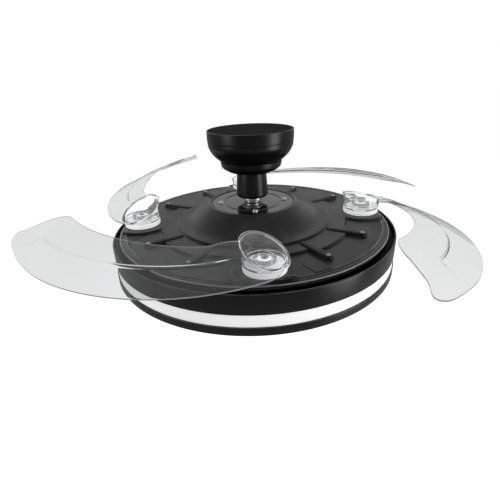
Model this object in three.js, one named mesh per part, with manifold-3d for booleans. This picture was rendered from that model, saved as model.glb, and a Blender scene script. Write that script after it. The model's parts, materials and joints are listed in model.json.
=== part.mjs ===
// Ceiling fan whose four clear blades swing in over a round body: stem and canopy on top,
// a pressed tray with a low dome that turns with the blades, and a fixed light ring below.
// Millimetres. Origin at the middle of the ceiling plate's top face, +Z up.
import * as THREE from 'three';
import { mergeVertices } from 'three/addons/utils/BufferGeometryUtils.js';
import Module from 'manifold-3d';

const wasm = await Module();
wasm.setup();

// fits
const seatGap = 0.3;
const cutOver = 2;

// canopy and hanger
const canopyRadius = 73;
const canopyWall = 1.8;
const bandHeight = 18;
const bowlDepth = 32;
const collarRadius = 53.5;
const collarDepth = 12.5;
const lipRadius = 43;
const lipDepth = 8;
const plateThickness = 2.5;
const cableHoleRadius = 7;
const cableHoleOffset = 32;
const strapThickness = 2.5;
const strapSpan = 76;
const flangeReach = 17;
const ballRadius = 20;
const ballDrop = 36;
const seatRadius = 0.82 * ballRadius;
const strapWidth = 2 * seatRadius + 12;
const screwHeadRadius = 5;
const screwHeadHeight = 3;
const screwHeadEase = 1;
const ballCutShare = 0.8;
const bowlInset = 0.5;
const bowlSweep = 0.86;
const collarStep = 1;
const collarEase = 4;
const trimClearance = 4.6;
const trimLean = 3;

// stem
const rodRadius = 11;
const rodWall = 1.8;
const pinRadius = 2.5;
const coverTopRadius = 25.4;
const coverBottomRadius = 28;
const coverWall = 2;
const coverShow = 44;
const yokeRadius = 17;
const yokeHeight = 28;
const collarShaftRadius = 18.3;
const shaftShowRadius = 14.5;
const shaftRadius = 10;
const shaftBore = 6;
const shaftCollarHeight = 5.7;
const shaftShow = 11;
const coverHidden = 6;
const coverLip = 2;
const coverEase = 2.5;
const yokeLift = 3;
const yokeWeb = 2;
const rodGrip = 18;
const yokePinDrop = 8;
const pinStand = 4;
const collarCutDepth = 0.8;
const collarCutLow = 2.2;
const collarCutHigh = 3.6;
const collarCutEase = 0.4;
const shaftTail = 12;

// tray
const trayRadius = 238;
const trayThickness = 1.2;
const domeTopRadius = 80;
const domeFootRadius = 125;
const domeHeight = 33.5;
const capRadius = 73;
const capThickness = 2;
const capGroove = 51;
const capScrewCircle = 57;
const ribInset = 30;
const ribWidth = 16;
const ribHeight = 6;
const ribSpread = 30;
const panelInner = 136;
const shelfRise = 2.5;
const domeLipRise = 1.8;
const capOverlap = 6;
const edgeRoll = 10;
const edgeDrop = 2;
const padRise = 2;
const padMargin = 6;
const capScrewRadius = 2;
const capScrewHeadRadius = 4.4;
const capScrewHeadHeight = 3;
const capScrewRecess = 1.1;
const capGrooveHalf = 1.2;
const capGrooveDepth = 0.9;
const slotInset = 7;
const slotLength = 34;
const slotFoot = 25;
const slotWidth = 2;
const slotAngle = 16;

// hubs and blades
const bladeCount = 4;
const hubInset = 36.7;
const quarterTurn = 3.8;
const frontRest = 0;
const rightRest = 3.4;
const backRest = -22;
const leftRest = -1;
const hubRadius = 31;
const seatHeight = 8;
const cupWall = 2;
const cupFloor = 2.2;
const cupFlare = 1.2;
const rimFlange = 34.5;
const rimRoot = 31;
const rimRise = 0.381;
const rimFall = 0.342;
const arcCentreT = 110;
const arcCentreR = -192;
const arcInner = 199;
const arcOuterRoot = 271;
const arcOuterTip = 282;
const bladeRootAngle = 121;
const bladeTipAngle = 29.5;
const tipSkew = 7;
const tipCorner = 12;
const tipSquare = 0.72;
const tipRows = [0, 0.07, 0.5, 0.93, 1];
const bladeThickness = 2.2;
const innerRootHeight = 47.5;
const innerTipHeight = 66.5;
const outerRootHeight = 17.5;
const outerTipHeight = 41.5;
const rootTuck = 15;
const tuckShare = 0.16;
const bladeCamber = 3;
const springCoil = 15;
const springTurns = 2.6;
const springPitch = 2.7;
const springWire = 1;
const springLeg = 9;
const blendReach = 45;
const outerEase = 1.6;
const arcSwell = 0.62;
const bushHeight = 7;
const boltHeadRadius = 6.5;
const boltHeadHeight = 2.4;
const boltHeadEase = 1.2;
const boltTail = 3;

// motor
const motorRadius = 72;
const motorHeight = 40;
const motorWall = 3;
const bearingWidth = 7;
const bearingRadius = 19.7;
const statorHeight = 20;
const magnetThickness = 3;
const slotsInStator = 6;
const statorSlot = 5;
const shaftClearance = 1.5;
const bearingBoss = 5;
const bearingBossDepth = 3;
const bearingLip = 1.5;
const endPlateSheet = 2.5;
const rotorGap = 1;
const windingDepth = 4;
const windingInset = 6;
const coreClearance = 7;
const coreRim = 14;

// light body
const bodyRadius = 250;
const ringWall = 3;
const upperRingHeight = 31.6;
const lightHeight = 17.4;
const lowerRingHeight = 14.8;
const floorStep = 7.5;
const ledgeDrop = 10;
const ledgeWidth = 11;
const panDepth = 22;
const panSheet = 1.5;
const diffuserThickness = 3;
const boardThickness = 1.6;
const boardHole = 45;
const boardInset = 30;
const ringEase = 1;
const ringEaseDrop = 1.5;
const ledgeThickness = 2;
const lowerRingStep = 1;
const lowerRingLip = 15;
const lowerRingSheet = 2;
const nutRadius = 17;
const nutHeight = 8;
const driverHalf = 34;
const driverDeep = 18;
const driverCorner = 4;
const driverInset = 100;
const driverClearance = 4;

// round resolution
const wide = 44;
const fine = 28;
const medium = 20;
const small = 12;
const tiny = 8;

const curlSteps = 8;
const curlSides = 5;

// circles and levels worked out from the sizes above
const hubCircle = trayRadius - hubInset;
const ribOuter = trayRadius - ribInset;
const slotOuter = trayRadius - slotInset;
const canopyHeight = bandHeight + bowlDepth + collarDepth + lipDepth;
const coverBottomZ = -(canopyHeight + coverShow);
const domeTopZ = coverBottomZ - shaftShow;
const floorZ = domeTopZ - domeHeight;
const ringTopZ = floorZ - floorStep;
const ledgeZ = ringTopZ - ledgeDrop;
const upperRingBottomZ = ringTopZ - upperRingHeight;
const lightBottomZ = upperRingBottomZ - lightHeight;
const bodyBottomZ = lightBottomZ - lowerRingHeight;
const hubPadZ = floorZ + padRise;
const seatBottomZ = hubPadZ + seatGap;
const seatTopZ = seatBottomZ + seatHeight;
const cupBottomZ = seatTopZ + seatGap;
const cupFloorZ = cupBottomZ + cupFloor;
const capUnderZ = domeTopZ - capThickness;
const lipTopZ = capUnderZ - seatGap;
const lipUnderZ = lipTopZ - trayThickness;
const shellTopZ = lipUnderZ - seatGap;
const shellBottomZ = shellTopZ - motorHeight;
const boltRadius = 3;
const bushRadius = 9.5;
const bushTopZ = cupFloorZ + bushHeight;
const yokeTopZ = coverBottomZ + yokeLift + yokeHeight;
const yokePinZ = yokeTopZ - yokePinDrop;
const driverCircle = bodyRadius - driverInset;

const group = new THREE.Group();

function finish(color, roughness, metalness, extra = {}) {
  return new THREE.MeshStandardMaterial({ color, roughness, metalness, ...extra });
}

const looks = {
  matteBlack: finish(0x1b1b1c, 0.55, 0.1),
  satinBlack: finish(0x18181a, 0.35, 0.2),
  trayBlack: finish(0x2c2c2e, 0.45, 0.3),
  clear: finish(0xdfe2e4, 0.05, 0, { transparent: true, opacity: 0.35 }),
  frosted: finish(0xf1f1ef, 0.5, 0),
  chrome: finish(0xd6d7d8, 0.12, 1),
  steel: finish(0xa9abad, 0.35, 0.9),
  zinc: finish(0xb9bcc0, 0.4, 0.85),
  opal: finish(0xfbfbfa, 0.4, 0),
  copper: finish(0xa8643a, 0.35, 0.8),
  magnet: finish(0x3a3a3d, 0.6, 0.3),
  board: finish(0xeceeec, 0.5, 0),
  plastic: finish(0xe2e2de, 0.5, 0),
};

function add(name, geometry, look) {
  const mesh = new THREE.Mesh(geometry, look.clone());
  mesh.name = name;
  group.add(mesh);
}

function closedVolume(geometry) {
  const position = geometry.getAttribute('position');
  const index = geometry.getIndex();
  const a = new THREE.Vector3();
  const b = new THREE.Vector3();
  const c = new THREE.Vector3();
  let total = 0;
  for (let i = 0; i < index.count; i += 3) {
    a.fromBufferAttribute(position, index.getX(i));
    b.fromBufferAttribute(position, index.getX(i + 1));
    c.fromBufferAttribute(position, index.getX(i + 2));
    total += a.dot(b.cross(c));
  }
  return total / 6;
}

// one indexed mesh that faces outward
function welded(geometry) {
  const bare = geometry.clone();
  bare.deleteAttribute('normal');
  bare.deleteAttribute('uv');
  const merged = mergeVertices(bare, 1e-4);
  if (closedVolume(merged) < 0) {
    const index = merged.getIndex();
    for (let i = 0; i < index.count; i += 3) {
      const first = index.getX(i);
      index.setX(i, index.getX(i + 1));
      index.setX(i + 1, first);
    }
  }
  return merged;
}

function toSolid(geometry) {
  const mesh = welded(geometry);
  return new wasm.Manifold(new wasm.Mesh({
    numProp: 3,
    vertProperties: new Float32Array(mesh.getAttribute('position').array),
    triVerts: new Uint32Array(mesh.getIndex().array),
  }));
}

function toGeometry(solid) {
  const mesh = solid.getMesh();
  const geometry = new THREE.BufferGeometry();
  geometry.setAttribute('position', new THREE.BufferAttribute(mesh.vertProperties, 3));
  geometry.setIndex(new THREE.BufferAttribute(mesh.triVerts, 1));
  geometry.computeVertexNormals();
  return geometry;
}

function cut(geometry, tools) {
  let solid = toSolid(geometry);
  for (const tool of tools) {
    solid = solid.subtract(toSolid(tool));
  }
  return toGeometry(solid);
}

function join(parts) {
  let solid = toSolid(parts[0]);
  for (const part of parts.slice(1)) {
    solid = solid.add(toSolid(part));
  }
  return toGeometry(solid);
}

// profile of [radius, height] pairs turned about Z
function turned(profile, segments) {
  const points = profile.map(([radius, height]) => new THREE.Vector2(radius, height));
  const geometry = new THREE.LatheGeometry(points, segments);
  geometry.rotateX(Math.PI / 2);
  return welded(geometry);
}

function ring(inner, outer, bottom, top, segments) {
  return turned([[inner, bottom], [outer, bottom], [outer, top], [inner, top], [inner, bottom]], segments);
}

function disc(radius, bottom, top, segments) {
  return turned([[0, bottom], [radius, bottom], [radius, top], [0, top]], segments);
}

// a flat outline raised from bottom to top
function raised(shape, bottom, top, curveSegments = 12) {
  const geometry = new THREE.ExtrudeGeometry(shape, {
    depth: top - bottom,
    bevelEnabled: false,
    curveSegments,
  });
  geometry.translate(0, 0, bottom);
  return geometry;
}

function box(width, depth, bottom, top) {
  const geometry = new THREE.BoxGeometry(width, depth, top - bottom);
  geometry.translate(0, 0, (top + bottom) / 2);
  return geometry;
}

function lying(radius, length, segments) {
  const geometry = new THREE.CylinderGeometry(radius, radius, length, segments);
  geometry.rotateZ(Math.PI / 2);
  return geometry;
}

// radius of a bore whose flat sides clear a shaft of the given radius
function bore(radius, segments, gap = seatGap) {
  return (radius + gap) / Math.cos(Math.PI / segments);
}

function hubAngle(index) {
  return THREE.MathUtils.degToRad(quarterTurn - 90 + index * (360 / bladeCount));
}

// hub frame: X along the blade, Y outward from the fan's axis
function atHub(geometry, index) {
  const placed = geometry.clone();
  placed.translate(0, hubCircle, 0);
  placed.rotateZ(hubAngle(index) - Math.PI / 2);
  return placed;
}

function turnedTo(geometry, degrees) {
  const placed = geometry.clone();
  placed.rotateZ(THREE.MathUtils.degToRad(degrees));
  return placed;
}

// canopy ------------------------------------------------------------

function ceilingPlate() {
  const radius = canopyRadius - canopyWall - seatGap;
  const tools = [disc(cableHoleRadius, -plateThickness - cutOver, cutOver, small)];
  tools[0].translate(0, cableHoleOffset, 0);
  for (const side of [-1, 1]) {
    const hole = disc(pinRadius + seatGap, -plateThickness - cutOver, cutOver, small);
    hole.translate(side * (strapSpan + flangeReach) / 2, 0, 0);
    tools.push(hole);
  }
  add('ceiling_plate', cut(disc(radius, -plateThickness, 0, fine), tools), looks.matteBlack);
}

function hangerBracket() {
  const top = -plateThickness - seatGap;
  const seatDrop = Math.sqrt(ballRadius ** 2 - seatRadius ** 2);
  const shelf = -ballDrop - seatDrop - seatGap;
  const half = strapSpan / 2;
  const reach = half + flangeReach;
  const outline = new THREE.Shape();
  outline.moveTo(-reach, top);
  outline.lineTo(-half, top);
  outline.lineTo(-half, shelf);
  outline.lineTo(half, shelf);
  outline.lineTo(half, top);
  outline.lineTo(reach, top);
  outline.lineTo(reach, top - strapThickness);
  outline.lineTo(half + strapThickness, top - strapThickness);
  outline.lineTo(half + strapThickness, shelf - strapThickness);
  outline.lineTo(-half - strapThickness, shelf - strapThickness);
  outline.lineTo(-half - strapThickness, top - strapThickness);
  outline.lineTo(-reach, top - strapThickness);
  outline.closePath();
  const strap = raised(outline, -strapWidth / 2, strapWidth / 2);
  strap.rotateX(Math.PI / 2);
  const tools = [disc(seatRadius + seatGap, shelf - strapThickness - cutOver, shelf + cutOver, medium)];
  for (const side of [-1, 1]) {
    const hole = disc(pinRadius + seatGap, top - strapThickness - cutOver, top + cutOver, small);
    hole.translate(side * (half + flangeReach / 2), 0, 0);
    tools.push(hole);
  }
  add('hanger_bracket', cut(strap, tools), looks.zinc);
}

function bracketScrews() {
  const flangeUnder = -plateThickness - seatGap - strapThickness - seatGap;
  const profile = [
    [0, flangeUnder - screwHeadHeight],
    [screwHeadRadius - screwHeadEase, flangeUnder - screwHeadHeight],
    [screwHeadRadius, flangeUnder - screwHeadHeight + screwHeadEase],
    [screwHeadRadius, flangeUnder],
    [pinRadius, flangeUnder],
    [pinRadius, -seatGap],
    [0, -seatGap],
  ];
  [-1, 1].forEach((side, index) => {
    const screw = turned(profile, tiny);
    screw.translate(side * (strapSpan + flangeReach) / 2, 0, 0);
    add(`bracket_screw_${index + 1}`, screw, looks.steel);
  });
}

function hangerBall() {
  const cap = Math.asin(ballCutShare);
  const profile = [];
  const inner = bore(rodRadius, medium);
  const steps = 6;
  for (let i = 0; i <= steps; i += 1) {
    const angle = -cap + (2 * cap * i) / steps;
    profile.push([ballRadius * Math.cos(angle), -ballDrop + ballRadius * Math.sin(angle)]);
  }
  profile.push([inner, profile[steps][1]]);
  profile.push([inner, profile[0][1]]);
  profile.push([...profile[0]]);
  const pinHole = lying(pinRadius + seatGap, ballRadius * 3, small);
  pinHole.translate(0, 0, -ballDrop);
  add('hanger_ball', cut(turned(profile, medium), [pinHole]), looks.satinBlack);
}

function downrod() {
  const top = -ballDrop + ballRadius * ballCutShare;
  const bottom = yokeTopZ - rodGrip;
  const tube = ring(rodRadius - rodWall, rodRadius, bottom, top, medium);
  const tools = [-ballDrop, yokePinZ].map((height) => {
    const hole = lying(pinRadius + seatGap, rodRadius * 4, small);
    hole.translate(0, 0, height);
    return hole;
  });
  add('downrod', cut(tube, tools), looks.satinBlack);
}

function crossPins() {
  const ballPin = lying(pinRadius, ballRadius * 2 - pinStand, small);
  ballPin.translate(0, 0, -ballDrop);
  add('ball_pin', welded(ballPin), looks.steel);
  const yokePin = lying(pinRadius, yokeRadius * 2 + pinStand, small);
  yokePin.translate(0, 0, yokePinZ);
  add('yoke_pin', welded(yokePin), looks.steel);
}

function canopyBand() {
  const band = ring(canopyRadius - canopyWall, canopyRadius, -bandHeight, 0, fine);
  add('canopy_band', band, looks.satinBlack);
}

// half an outline of a bowl: straight collar under a rounded shoulder
function bowlOutline(offset) {
  const top = -bandHeight - seatGap;
  const outer = canopyRadius - bowlInset - offset;
  const collar = collarRadius + collarStep - offset;
  const depth = bowlDepth - seatGap;
  const sweep = bowlSweep * Math.PI / 2;
  const scale = Math.sin(sweep);
  const drop = 1 - Math.cos(sweep);
  const points = [];
  const steps = 4;
  for (let i = 0; i <= steps; i += 1) {
    const angle = sweep * (i / steps);
    points.push([
      outer - (outer - collar) * (1 - Math.cos(angle)) / drop,
      top - depth * Math.sin(angle) / scale + (i === steps ? offset : 0),
    ]);
  }
  return points;
}

function canopyBowl() {
  const shoulder = bowlOutline(0);
  const inside = bowlOutline(canopyWall).reverse();
  const collarTop = -bandHeight - bowlDepth;
  const collarBottom = collarTop - collarDepth;
  const profile = [
    ...shoulder,
    [collarRadius, collarTop - collarStep],
    [collarRadius - collarStep, collarBottom + collarEase],
    [collarRadius - collarEase, collarBottom],
    [lipRadius + 2 * collarStep, collarBottom - collarStep],
    [lipRadius + 2 * collarStep, collarBottom - collarStep + canopyWall],
    [collarRadius - collarEase - collarStep, collarBottom + canopyWall],
    [collarRadius - collarStep - canopyWall, collarBottom + collarEase + collarStep],
    ...inside,
    [...shoulder[0]],
  ];
  add('canopy_bowl', turned(profile, fine), looks.satinBlack);
}

function canopyTrim() {
  const top = -canopyHeight + lipDepth - collarStep - seatGap;
  const bottom = -canopyHeight;
  const opening = coverTopRadius + trimClearance;
  const profile = [
    [opening, bottom],
    [lipRadius - 2 * trimLean, bottom],
    [lipRadius, bottom + trimLean],
    [lipRadius + collarEase, top],
    [lipRadius, top],
    [lipRadius - 2 * trimLean - collarStep, bottom + canopyWall],
    [opening, bottom + canopyWall],
    [opening, bottom],
  ];
  add('canopy_trim', turned(profile, medium), looks.satinBlack);
}

// stem --------------------------------------------------------------

function couplingCover() {
  const top = -canopyHeight + coverHidden;
  const bottom = coverBottomZ;
  const opening = collarShaftRadius - coverLip;
  const bend = coverEase * 0.28;
  const profile = [
    [opening, bottom],
    [coverBottomRadius - coverEase, bottom],
    [coverBottomRadius - bend, bottom + bend],
    [coverBottomRadius, bottom + coverEase],
    [coverTopRadius, top],
    [coverTopRadius - coverWall, top],
    [coverBottomRadius - coverWall, bottom + coverEase],
    [opening, bottom + coverWall],
    [opening, bottom],
  ];
  add('coupling_cover', turned(profile, medium), looks.satinBlack);
}

function motorYoke() {
  const bottom = coverBottomZ + yokeLift;
  const top = yokeTopZ;
  const shelf = top - rodGrip - seatGap;
  const profile = [
    [bore(shaftRadius, medium), bottom],
    [yokeRadius, bottom],
    [yokeRadius, top],
    [bore(rodRadius, medium), top],
    [bore(rodRadius, medium), shelf],
    [shaftBore, shelf],
    [shaftBore, shelf - yokeWeb],
    [bore(shaftRadius, medium), shelf - yokeWeb],
    [bore(shaftRadius, medium), bottom],
  ];
  const pinHole = lying(pinRadius + seatGap, yokeRadius * 4, small);
  pinHole.translate(0, 0, yokePinZ);
  add('motor_yoke', cut(turned(profile, medium), [pinHole]), looks.zinc);
}

function shaftCollar() {
  const top = coverBottomZ - seatGap;
  const bottom = top - shaftCollarHeight;
  const inner = bore(shaftShowRadius, medium);
  const groove = collarShaftRadius - collarCutDepth;
  const profile = [
    [inner, bottom],
    [collarShaftRadius, bottom],
    [collarShaftRadius, bottom + collarCutLow],
    [groove, bottom + collarCutLow + collarCutEase],
    [groove, bottom + collarCutHigh - collarCutEase],
    [collarShaftRadius, bottom + collarCutHigh],
    [collarShaftRadius, top],
    [inner, top],
    [inner, bottom],
  ];
  add('shaft_collar', turned(profile, medium), looks.chrome);
}

function motorShaft() {
  const top = yokeTopZ - rodGrip - yokeWeb - 2 * seatGap;
  const showTop = coverBottomZ - seatGap;
  const showBottom = domeTopZ + seatGap + 0.2;
  const bottom = ledgeZ - panDepth - shaftTail;
  const profile = [
    [shaftBore, bottom],
    [shaftRadius, bottom],
    [shaftRadius, showBottom],
    [shaftShowRadius, showBottom],
    [shaftShowRadius, showTop],
    [shaftRadius, showTop],
    [shaftRadius, top],
    [shaftBore, top],
    [shaftBore, bottom],
  ];
  add('motor_shaft', turned(profile, medium), looks.chrome);
}

// motor -------------------------------------------------------------

function rotorShell() {
  const bossRadius = bearingRadius + bearingBoss;
  const bossBottom = shellTopZ - bearingWidth - bearingBossDepth;
  const seat = shellTopZ - bearingLip;
  const land = capScrewCircle + capOverlap - 1;
  const profile = [
    [shaftRadius + shaftClearance, capUnderZ - seatGap],
    [land, capUnderZ - seatGap],
    [land, shellTopZ],
    [motorRadius, shellTopZ],
    [motorRadius, shellBottomZ],
    [motorRadius - motorWall, shellBottomZ],
    [motorRadius - motorWall, shellTopZ - motorWall - 1],
    [bossRadius, shellTopZ - motorWall],
    [bossRadius, bossBottom],
    [bore(bearingRadius, medium), bossBottom],
    [bore(bearingRadius, medium), seat],
    [shaftRadius + shaftClearance, seat],
    [shaftRadius + shaftClearance, capUnderZ - seatGap],
  ];
  const holes = [0, 1, 2, 3].map((index) => {
    const under = shellTopZ - motorWall - cutOver;
    const hole = disc(capScrewRadius + seatGap, under, shellTopZ + 3 * cutOver, tiny);
    hole.translate(0, capScrewCircle, 0);
    return turnedTo(hole, quarterTurn + index * 90);
  });
  add('rotor_shell', cut(turned(profile, medium), holes), looks.zinc);
}

function rotorEndPlate() {
  const bottom = shellBottomZ;
  const bossTop = bottom + bearingWidth + bearingBossDepth;
  const rim = motorRadius - motorWall - seatGap;
  const profile = [
    [shaftRadius + shaftClearance, bottom],
    [rim, bottom],
    [rim, bottom + endPlateSheet],
    [bearingRadius + bearingBoss, bottom + endPlateSheet],
    [bearingRadius + bearingBoss, bossTop],
    [bore(bearingRadius, medium), bossTop],
    [bore(bearingRadius, medium), bottom + bearingLip],
    [shaftRadius + shaftClearance, bottom + bearingLip],
    [shaftRadius + shaftClearance, bottom],
  ];
  add('rotor_end_plate', turned(profile, medium), looks.zinc);
}

function bearings() {
  const upperTop = shellTopZ - bearingLip - seatGap;
  const lowerBottom = shellBottomZ + bearingLip + seatGap;
  const inner = bore(shaftRadius, medium);
  const upper = ring(inner, bearingRadius, upperTop - bearingWidth, upperTop, medium);
  const lower = ring(inner, bearingRadius, lowerBottom, lowerBottom + bearingWidth, medium);
  add('bearing_upper', upper, looks.steel);
  add('bearing_lower', lower, looks.steel);
}

function statorParts() {
  const middle = (shellTopZ + shellBottomZ) / 2;
  const low = middle - statorHeight / 2;
  const high = middle + statorHeight / 2;
  const outer = motorRadius - motorWall - 2 * seatGap - magnetThickness - rotorGap;
  const magnetOuter = motorRadius - motorWall - seatGap;
  add('magnet_ring', ring(magnetOuter - magnetThickness, magnetOuter, low, high, medium), looks.magnet);
  const coreInner = bearingRadius + coreClearance;
  const core = ring(coreInner, outer, low + windingDepth, high - windingDepth, medium);
  const tools = [];
  for (let i = 0; i < slotsInStator; i += 1) {
    const slot = box(statorSlot, outer - coreInner - coreRim, low - cutOver, high + cutOver);
    slot.translate(0, (outer + coreInner) / 2 + 1, 0);
    tools.push(turnedTo(slot, i * 360 / slotsInStator));
  }
  add('stator_core', cut(core, tools), looks.steel);
  const hubInner = bore(shaftRadius, medium);
  const hub = ring(hubInner, coreInner - 2 * seatGap, low + windingDepth, high - windingDepth, medium);
  add('stator_hub', hub, looks.plastic);
  const inner = coreInner + windingInset;
  const windingOuter = outer - windingInset + 1;
  const upper = ring(inner, windingOuter, high - windingDepth + seatGap, high - seatGap, small);
  const lower = ring(inner, windingOuter, low + seatGap, low + windingDepth - seatGap, small);
  add('stator_winding_upper', upper, looks.copper);
  add('stator_winding_lower', lower, looks.copper);
}

// tray --------------------------------------------------------------

function trayProfile() {
  const t = trayThickness;
  const lipInner = capScrewCircle + capOverlap;
  const edge = trayRadius;
  const foot = domeFootRadius;
  const lip = capRadius + seatGap;
  const slope = (along, inset) => {
    const start = domeTopRadius + 1.5;
    const radius = start + (foot - start) * along;
    const fall = (domeHeight - domeLipRise - shelfRise) * Math.sin(along * Math.PI / 2);
    return [radius - inset, domeTopZ - domeLipRise - fall - inset];
  };
  const steps = 4;
  const top = [
    [lipInner, lipTopZ],
    [lip, lipTopZ],
    [lip + 1, domeTopZ],
    [domeTopRadius - 1, domeTopZ],
  ];
  for (let i = 0; i <= steps; i += 1) {
    top.push(slope(i / steps, 0));
  }
  top.push([panelInner - 1, floorZ + shelfRise - 0.6]);
  top.push([panelInner + 1, floorZ]);
  top.push([edge - edgeRoll, floorZ]);
  top.push([edge - edgeRoll + edgeDrop, floorZ - edgeDrop / 2]);
  top.push([edge, floorZ - edgeDrop]);
  const under = [
    [edge, floorZ - edgeDrop - t],
    [edge - edgeRoll - t / 2, floorZ - t],
    [panelInner, floorZ - t],
    slope(0.97, t),
    slope(0.5, t),
    slope(0, t),
    [lip + 2, domeTopZ - t - 1],
    [lip + 1.4, lipUnderZ],
    [lipInner, lipUnderZ],
  ];
  return [...top, ...under, [...top[0]]];
}

function ribSolid() {
  const inner = domeFootRadius - 3;
  const outer = ribOuter - ribWidth / 2;
  const half = ribWidth / 2;
  const outline = new THREE.Shape();
  outline.moveTo(-half, inner);
  outline.lineTo(half, inner);
  outline.lineTo(half, outer);
  outline.absarc(0, outer, half, 0, Math.PI, false);
  outline.closePath();
  return raised(outline, floorZ - trayThickness / 2, floorZ + ribHeight, 2);
}

function hubPad() {
  return disc(hubRadius + padMargin, floorZ - trayThickness / 2, hubPadZ, medium);
}

// an L-shaped slit: a radial cut with a foot along the tray's edge
function slotTool() {
  const inner = slotOuter - slotLength;
  const half = slotWidth / 2;
  const outline = new THREE.Shape();
  outline.moveTo(-half, inner);
  outline.lineTo(half, inner);
  outline.lineTo(half, slotOuter - slotWidth);
  outline.lineTo(slotFoot, slotOuter - slotWidth);
  outline.lineTo(slotFoot, slotOuter);
  outline.lineTo(-half, slotOuter);
  outline.closePath();
  return turnedTo(raised(outline, floorZ - 6, floorZ + 4), slotAngle);
}

function bladeTray() {
  const body = turned(trayProfile(), wide);
  const bosses = [];
  const tools = [];
  for (let index = 0; index < bladeCount; index += 1) {
    const quarter = quarterTurn + index * (360 / bladeCount);
    bosses.push(atHub(hubPad(), index));
    bosses.push(turnedTo(ribSolid(), quarter - ribSpread));
    bosses.push(turnedTo(ribSolid(), quarter + ribSpread));
    tools.push(turnedTo(slotTool(), quarter));
    const boltHole = disc(boltRadius + seatGap, floorZ - 6, floorZ + 6, tiny);
    tools.push(atHub(boltHole, index));
  }
  const whole = join([body, ...bosses]);
  add('blade_tray', cut(whole, tools), looks.trayBlack);
}

function rotorCap() {
  const profile = [
    [shaftRadius + shaftClearance, capUnderZ],
    [capRadius, capUnderZ],
    [capRadius, domeTopZ],
    [capGroove + capGrooveHalf, domeTopZ],
    [capGroove, domeTopZ - capGrooveDepth],
    [capGroove - capGrooveHalf, domeTopZ],
    [shaftRadius + shaftClearance, domeTopZ],
    [shaftRadius + shaftClearance, capUnderZ],
  ];
  const holes = [0, 1, 2, 3].map((index) => {
    const hole = disc(capScrewRadius + seatGap, capUnderZ - cutOver, domeTopZ + cutOver, tiny);
    hole.translate(0, capScrewCircle, 0);
    return turnedTo(hole, quarterTurn + index * 90);
  });
  add('rotor_cap', cut(turned(profile, fine), holes), looks.trayBlack);
}

function capScrews() {
  const under = domeTopZ + seatGap;
  const tipZ = shellTopZ - motorWall + 0.5;
  const headTop = under + capScrewHeadHeight;
  const crown = capScrewHeadRadius - capScrewRadius;
  const profile = [
    [0, tipZ],
    [capScrewRadius, tipZ],
    [capScrewRadius, under],
    [capScrewHeadRadius, under],
    [capScrewHeadRadius - 0.2, under + 1.6],
    [crown, headTop],
    [0, headTop],
  ];
  const arm = capScrewHeadRadius;
  const recessZ = headTop - 1.2;
  const recess = join([
    box(capScrewRecess, arm, recessZ, headTop + cutOver),
    box(arm, capScrewRecess, recessZ, headTop + cutOver),
  ]);
  const screw = cut(turned(profile, tiny), [recess]);
  screw.translate(0, capScrewCircle, 0);
  for (let index = 0; index < 4; index += 1) {
    add(`cap_screw_${index + 1}`, turnedTo(screw, quarterTurn + index * 90), looks.chrome);
  }
}

// blades ------------------------------------------------------------

function rimPlane(x, y) {
  return floorZ + rimRoot + rimRise * x - rimFall * y;
}

function eased(value) {
  const clamped = Math.min(Math.max(value, 0), 1);
  return clamped * clamped * (3 - 2 * clamped);
}

// height of the blade's upper face: straight between a high inner and a low outer edge
function bladeHeight(x, y, turn, across) {
  const along = (bladeRootAngle - turn) / (bladeRootAngle - bladeTipAngle);
  const inner = innerRootHeight + (innerTipHeight - innerRootHeight) * along;
  const late = Math.max(along, 0) ** outerEase;
  const outer = outerRootHeight + (outerTipHeight - outerRootHeight) * late;
  const camber = bladeCamber * 4 * across * (1 - across);
  const strip = floorZ + inner + (outer - inner) * across + camber;
  const away = (Math.hypot(x, y) - rimFlange) / blendReach;
  const share = eased(away);
  return rimPlane(x, y) * (1 - share) + strip * share;
}

// how far the tip is drawn back at a place across the blade, for its rounded corners
function tipDraw(across) {
  const side = Math.abs(2 * across - 1);
  const near = Math.max(side - tipSquare, 0) / (1 - tipSquare);
  return THREE.MathUtils.radToDeg(tipCorner / arcOuterTip) * near ** 2;
}

function bladePlate() {
  const geometry = new THREE.BoxGeometry(1, 1, 1, 13, tipRows.length - 1, 1);
  const position = geometry.getAttribute('position');
  for (let i = 0; i < position.count; i += 1) {
    const along = position.getX(i) + 0.5;
    const across = tipRows[Math.round((position.getY(i) + 0.5) * (tipRows.length - 1))];
    const endTurn = bladeTipAngle + tipSkew * (0.5 - across) + tipDraw(across);
    const turn = bladeRootAngle + (endTurn - bladeRootAngle) * along;
    const tuck = rootTuck * Math.max(1 - along / tuckShare, 0) ** 2;
    const swell = (arcOuterTip - arcOuterRoot) * Math.sin(along * Math.PI * arcSwell);
    const outerRadius = arcOuterRoot + swell - tuck;
    const radius = arcInner + (outerRadius - arcInner) * across;
    const angle = THREE.MathUtils.degToRad(turn);
    const x = arcCentreT + radius * Math.cos(angle);
    const y = arcCentreR + radius * Math.sin(angle);
    const top = bladeHeight(x, y, turn, across);
    position.setXYZ(i, x, y, top + (position.getZ(i) - 0.5) * bladeThickness);
  }
  return geometry;
}

function sheared(geometry) {
  const shear = new THREE.Matrix4().set(
    1, 0, 0, 0,
    0, 1, 0, 0,
    rimRise, -rimFall, 1, 0,
    0, 0, 0, 1,
  );
  geometry.applyMatrix4(shear);
  return geometry;
}

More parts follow.
